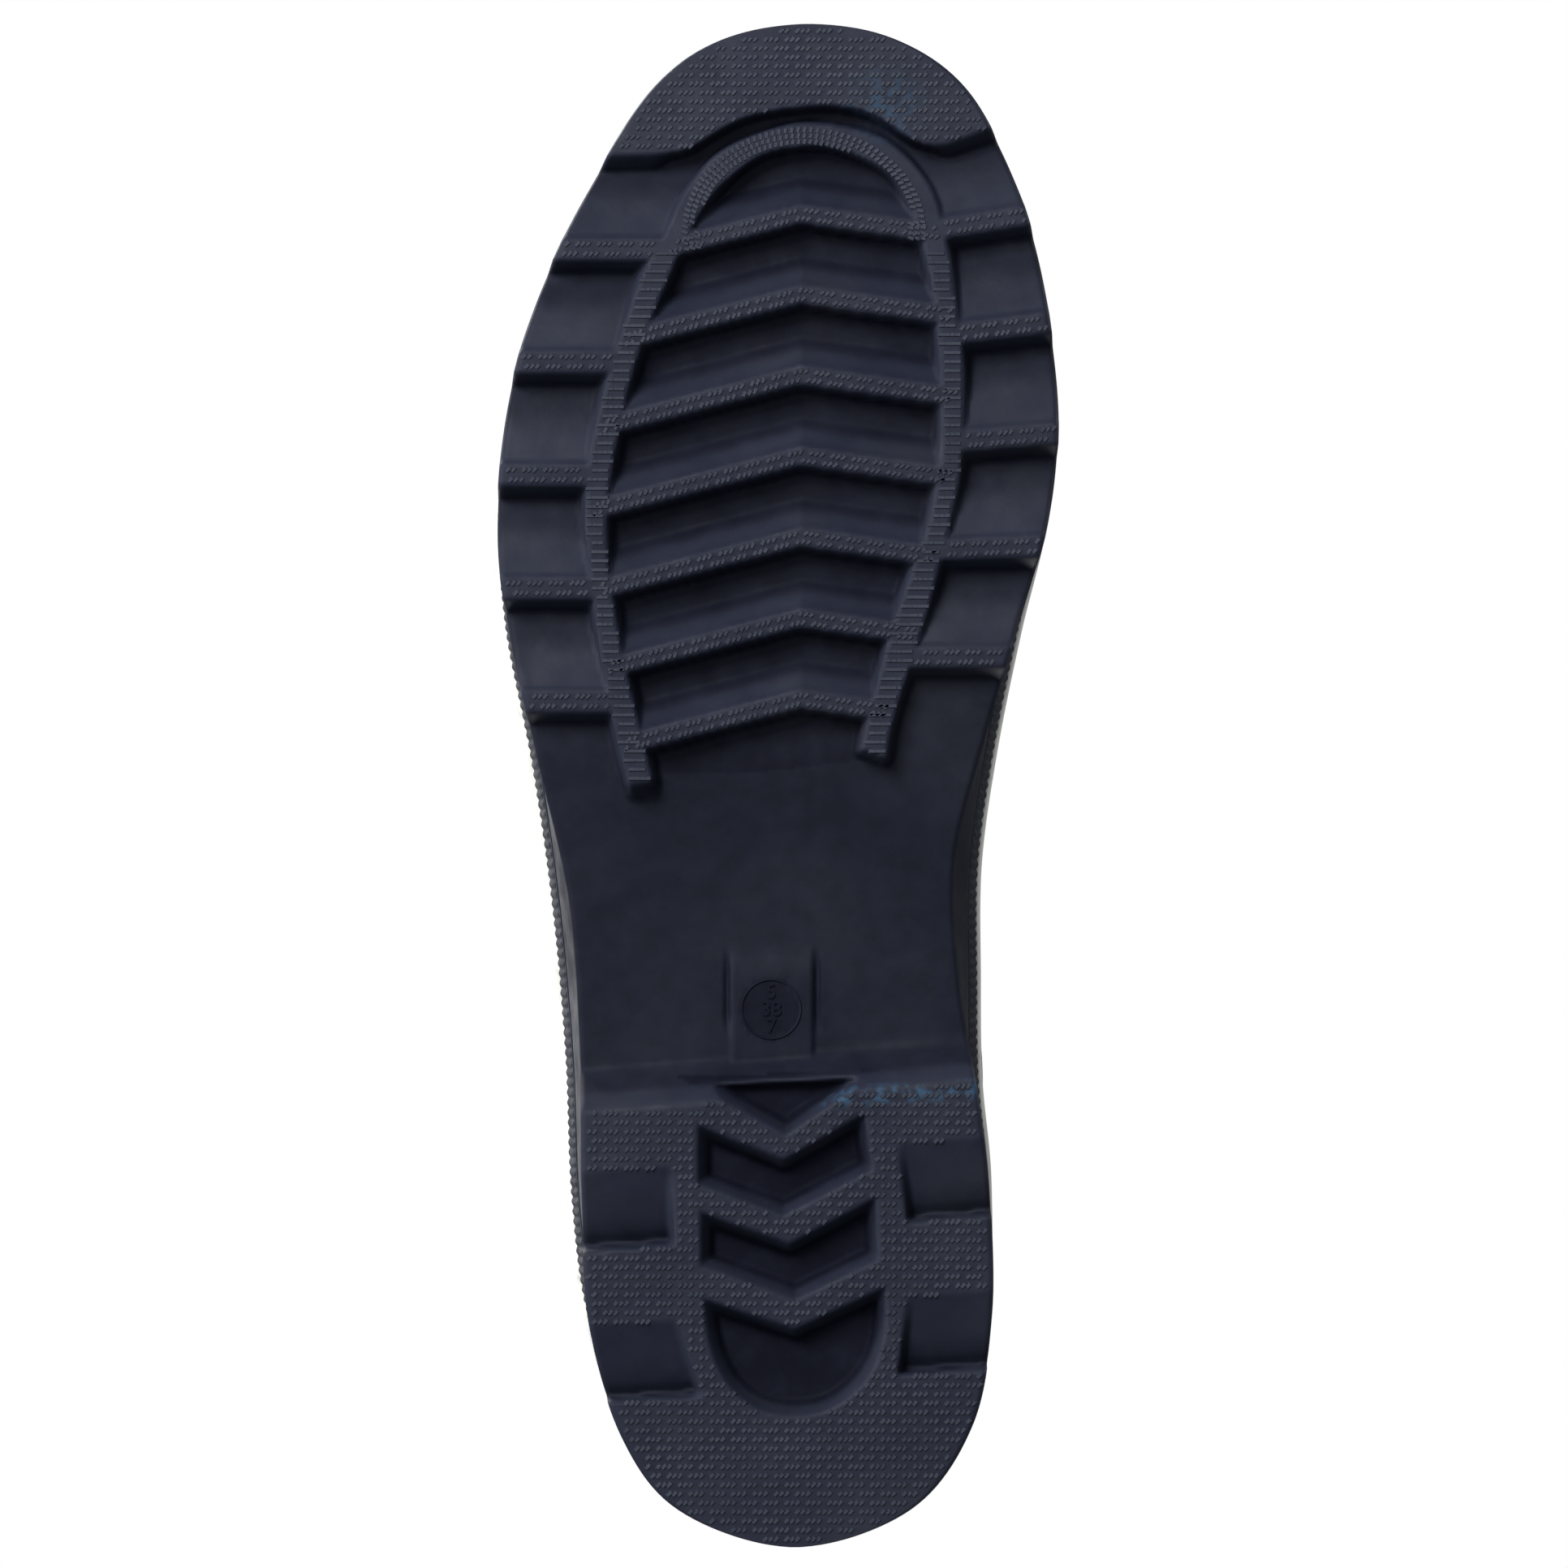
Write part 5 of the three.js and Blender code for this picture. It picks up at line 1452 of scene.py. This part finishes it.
# %% [markdown]
# ## Lining and footbed
# The sock inside is knitted and bonded to the rubber, so it takes the boot's own shape and needs
# no simulation. It steps in where a stiffener lies between it and the rubber. The footbed is a
# moulded foam insole under a brushed cover: crowned along the foot, with a rolled edge that cups
# the heel.

# %% Lining
def lining_depth(place, height):
    """Depth of the lining under the surface: past the rubber, and past a stiffener where there is
    one, with a soft step between the two."""
    from_heel = np.minimum(place % AROUND, AROUND - place % AROUND)
    heel = smooth((8.0 - from_heel) / 1.0) * smooth((COUNTER_ROW + 2 - height) / 1.0)
    toe = smooth((from_heel - 11.0) / 1.0) * smooth((CAP_ROW + 2 - height) / 1.0)
    return rubber + gap + (1.0 + gap) * np.maximum(heel, toe)


def sock(name, heights, rows_up, node):
    """A face against the rubber and a face inside it, both right round, joined at the top and bottom
    edges."""
    place = np.linspace(0, AROUND, 181)[None]
    height = np.linspace(heights[0] + 0.02, heights[1] - 0.02, rows_up)[:, None]
    place, height = np.broadcast_arrays(place, height)
    depth = lining_depth(place, height)
    faces = [upper(place, height, -depth), upper(place, height, -depth - lining)[::-1]]
    whole = np.concatenate([*faces, faces[0][:1]])
    run_up = run_along(whole, 0)
    run_round = np.broadcast_to(run_along(whole, 1)[0], run_up.shape)
    uv = np.stack([run_round, run_up], axis=-1)
    cloth = closed_piece(name, [(whole, uv)], KNIT, [node])


sock("knit_sock_foot", (0, LEG_ROW), 90, "foot_lining")
sock("knit_sock_leg", (LEG_ROW, RISE), 50, "leg_lining")

# %% Footbed
BED_OVER_SOLE, BED_THICKNESS, BED_EDGE = 5.3, 4.0, 3.2
CUP_HEIGHT, ARCH_SUPPORT = 2.2, 2.0
BED_CLEARANCE, BED_LENGTH = 1.8, 240.0


def footbed():
    """Top and bottom grids over the paired rows. The top is a flat field whose border rolls down
    over a quarter circle, and it rises towards the rim round the heel and under the arch."""
    inset = upper_inset + rubber + 1.0 + lining + 3 * gap + BED_CLEARANCE
    share = np.concatenate([np.linspace(0, 0.03, 8), np.linspace(0.03, 0.97, 90)[1:-1],
                            np.linspace(0.97, 1, 8)])
    columns = 0.5 - 0.5 * np.cos(np.linspace(0, np.pi, 61))
    flat = across_sole(share, columns, inset, inset)
    x, y = flat[..., 0], flat[..., 1]
    low = sole_top(y) + BED_OVER_SOLE
    width = np.linalg.norm(flat[:, -1] - flat[:, 0], axis=1)[:, None]
    rim = np.minimum(np.minimum(columns, 1 - columns) * width,
                     np.minimum(share, 1 - share)[:, None] * BED_LENGTH)
    cup = CUP_HEIGHT * smooth((y - 20) / 50) * (1 - smooth(rim / 16))
    arch = ARCH_SUPPORT * smooth((x - 4) / 22) * smooth((y + 30) / 40) * smooth((70 - y) / 40)
    from_edge = 1 - np.clip(rim / BED_EDGE, 0, 1)
    thickness = (BED_THICKNESS + cup + arch) * np.sqrt(np.clip(1 - from_edge**2, 0, 1))
    top, bottom = np.dstack([flat, low + thickness]), np.dstack([flat, low])[::-1]
    bed = closed_piece("footbed_pad", [(top, plain_uv(top)), (bottom, plain_uv(bottom))],
                       FOOTBED, ["footbed"])


footbed()

# %% [markdown]
# ## Pull loop
# A tape is folded double. Its ends are stitched to the back of the binding under a small rubber
# anchor, and the rest stands up as a loop that can be folded in over the opening or out behind
# the leg. The tape is a flattened ring of points carried along a drop-shaped path.

# %% Tape, from the model's own boxes
loop_low, loop_high = extent("pull_loop")
ends_low, ends_high = extent("pull_loop_ends")
tape_width, tape = loop_high[0] - loop_low[0], 1.5
fold_y = (ends_low[1] + ends_high[1]) / 2
fold_z = loop_low[2] + tape
print("tape", round(tape_width, 1), "mm wide, fold at", round(fold_y, 1), round(fold_z, 1))


def drop_path(count):
    """y and z of the tape's middle: up one side, over a half circle and down the other side.
    Both ends stop just under the fold, clear of the tape that is sewn down."""
    radius = (loop_high[1] - loop_low[1]) / 2 - tape / 2
    centre = loop_high[2] - fold_z - tape / 2 - radius
    t = np.linspace(0, 1, count)
    side = np.column_stack([-mix(tape / 2, radius, smooth(t * 0.5 + 0.5 * t * t)), centre * t])
    a = np.linspace(np.pi, 0, count)[1:-1]
    crown = np.column_stack([radius * np.cos(a), centre + radius * np.sin(a)])
    start, end = (-tape * 0.35, -tape * 0.68), (tape * 0.35, -tape * 0.68)
    return np.concatenate([[start], side, crown, side[::-1] * [-1, 1], [end]])


# %% The tape's section, carried along a path
def superellipse(count, power_across, power_up):
    """A closed round of points: each of cosine and sine to a power, with its own sign kept. Small
    powers fill the corners."""
    a = np.linspace(0, 2 * np.pi, count + 1)
    across = np.sign(np.cos(a)) * np.abs(np.cos(a)) ** power_across
    up = np.sign(np.sin(a)) * np.abs(np.sin(a)) ** power_up
    return across, up


def swept_tape(path):
    """The section carried along a path in y and z, square to it, and closed at both ends."""
    along = np.gradient(path, axis=0)
    along /= np.linalg.norm(along, axis=1, keepdims=True)
    normal = np.column_stack([-along[:, 1], along[:, 0]])
    across, thick = superellipse(24, 0.35, 0.5)
    run = np.concatenate([[0], np.cumsum(np.linalg.norm(np.diff(path, axis=0), axis=1))])
    yz = path[:, None] + normal[:, None] * (thick * tape / 2)[None, :, None]
    x = np.broadcast_to(across * tape_width / 2, yz.shape[:2])
    body = np.dstack([x, yz[..., 0] + fold_y, yz[..., 1] + fold_z])
    uv = np.dstack([x, np.broadcast_to(run[:, None], yz.shape[:2])])
    first = np.repeat(body[:1].mean(axis=1, keepdims=True), body.shape[1], axis=1)
    last = np.repeat(body[-1:].mean(axis=1, keepdims=True), body.shape[1], axis=1)
    return np.concatenate([first, body, last]), np.concatenate([uv[:1], uv, uv[-1:]])


closed_piece("loop_tape", [swept_tape(drop_path(28))], WEBBING, ["pull_loop"],
             LOOP, settled=False)


def tape_end(side):
    """One leg of the folded tape, below the fold."""
    z = np.linspace(ends_high[2], ends_low[2], 20) - fold_z
    return swept_tape(np.column_stack([np.full(20, side * tape / 2), z]))


closed_piece("tape_ends", [tape_end(-1), tape_end(1)], WEBBING, ["pull_loop_ends"],
             settled=False)


# %% Anchor
def plate(low, high, rounding):
    """A rounded plate that faces +y: rings shrink from its outline to its middle on both faces,
    and its front edge rolls over a quarter circle."""
    middle, half = (low + high) / 2, (high - low) / 2
    ring_x, ring_z = superellipse(64, 0.4, 0.4)
    face = [(half[0] * s, half[2] * s, half[1]) for s in (0.0, 0.4, 0.75)]
    roll = []
    for t in np.linspace(np.pi / 2, 0, 6):
        drawn_in = rounding * (1 - np.cos(t))
        forward = half[1] - rounding + rounding * np.sin(t)
        roll.append((half[0] - drawn_in, half[2] - drawn_in, forward))
    back = [(half[0], half[2], -half[1]), (0.0, 0.0, -half[1])]
    w, h, y = np.array([*face, *roll, *back]).T[:, :, None]
    grid = np.dstack([middle[0] + w * ring_x, middle[1] + y + 0 * ring_x, middle[2] + h * ring_z])
    return grid, np.stack([grid[..., 0], grid[..., 2]], axis=-1)


closed_piece("anchor_patch", [plate(*extent("loop_anchor"), 0.6)], TRIM,
             ["loop_anchor"], settled=False)

# %% [markdown]
# ## Floor and light
# The floor is pale and plain, and glows faintly towards its far edge so that it runs into the
# background. It is only there for the eye, so from below it lets the sole be seen. The room is
# bright and even. Three soft lamps stand below: a key towards the toe and the outer side, a weak
# fill, and one almost level with the floor that rakes across the tread. Four more stand above for
# the other views, because glossy rubber needs something broad to reflect on every side.

# %% Floor
FLOOR_REACH = 3.0               # metres from the middle to each side


def floor_paint():
    """Pale grey, glowing more and more towards its edge, and clear when seen from below."""
    f = Finish("floor", roughness=0.9, specular=0.1)
    cloud = f.limits(f.noise(0.6, 2.0), 0.3, 0.7)
    f.colour(f.blend(cloud, (0.80, 0.80, 0.79), (0.84, 0.84, 0.83)))
    f.feed(f.shader.inputs["Emission Color"], (0.96, 0.96, 0.96))
    nearness = f.near((0.0, 0.0, 0.0), FLOOR_REACH)
    f.feed(f.shader.inputs["Emission Strength"], f.limits(nearness, 0.78, 0.05, 0.0, 1.0))
    facing = f.nodes.new("ShaderNodeNewGeometry")
    clear = f.nodes.new("ShaderNodeBsdfTransparent")
    choice = f.nodes.new("ShaderNodeMixShader")
    f.links.new(facing.outputs["Backfacing"], choice.inputs[0])
    f.links.new(f.shader.outputs[0], choice.inputs[1])
    f.links.new(clear.outputs[0], choice.inputs[2])
    f.links.new(choice.outputs[0], f.nodes["Material Output"].inputs["Surface"])
    return f.material


floor_mesh = bpy.data.meshes.new("floor")
corners = [(-1, -1, 0), (1, -1, 0), (1, 1, 0), (-1, 1, 0)]
floor_mesh.from_pydata(FLOOR_REACH * np.array(corners), [], [(0, 1, 2, 3)])
floor_mesh.materials.append(floor_paint())
floor = bpy.data.objects.new("floor", floor_mesh)
bpy.context.collection.objects.link(floor)
for ray in ("visible_diffuse", "visible_glossy", "visible_transmission", "visible_shadow"):
    setattr(floor, ray, False)
print("floor", 2 * FLOOR_REACH, "m square")

# %% Room
room = bpy.data.worlds.new("room")
bpy.context.scene.world = room
room.use_nodes = True
nodes, links = room.node_tree.nodes, room.node_tree.links
glow = nodes["Background"]
backdrop = nodes.new("ShaderNodeBackground")
path = nodes.new("ShaderNodeLightPath")
either = nodes.new("ShaderNodeMixShader")
glow.inputs["Color"].default_value = (0.93, 0.96, 1.0, 1.0)
glow.inputs["Strength"].default_value = 0.16
backdrop.inputs["Color"].default_value = (1.0, 1.0, 1.0, 1.0)
links.new(path.outputs["Is Camera Ray"], either.inputs[0])
links.new(glow.outputs[0], either.inputs[1])
links.new(backdrop.outputs[0], either.inputs[2])
links.new(either.outputs[0], nodes["World Output"].inputs["Surface"])
print("room glow", glow.inputs["Strength"].default_value)


# %% Lamps
def lamp(name, place, size, power, target=(0.0, 0.0, 0.05)):
    """A square area lamp that faces a target."""
    data = bpy.data.lights.new(name, "AREA")
    data.size, data.energy = size, power
    thing = bpy.data.objects.new(name, data)
    thing.location = place
    toward = Vector(target) - Vector(place)
    thing.rotation_euler = toward.to_track_quat("-Z", "Y").to_euler()
    bpy.context.collection.objects.link(thing)


lamp("key_below", (-0.60, -0.95, -1.25), 0.7, 30.0)
lamp("fill_below", (-0.3, -0.1, -1.7), 1.0, 8.0)
lamp("graze_below", (-1.5, -0.2, -0.22), 0.4, 14.0)
lamp("key_above", (-1.2, -1.3, 1.7), 1.0, 45.0)
lamp("outer_above", (-1.0, 0.1, 2.1), 0.8, 8.0)
lamp("rim_above", (0.2, 1.9, 1.2), 1.2, 22.0)
lamp("side_above", (1.7, -0.7, 0.75), 0.9, 12.0)
bpy.context.scene.view_settings.view_transform = "Standard"
lamps = [thing.name for thing in bpy.context.scene.objects if thing.type == "LIGHT"]
print("lamps:", lamps)
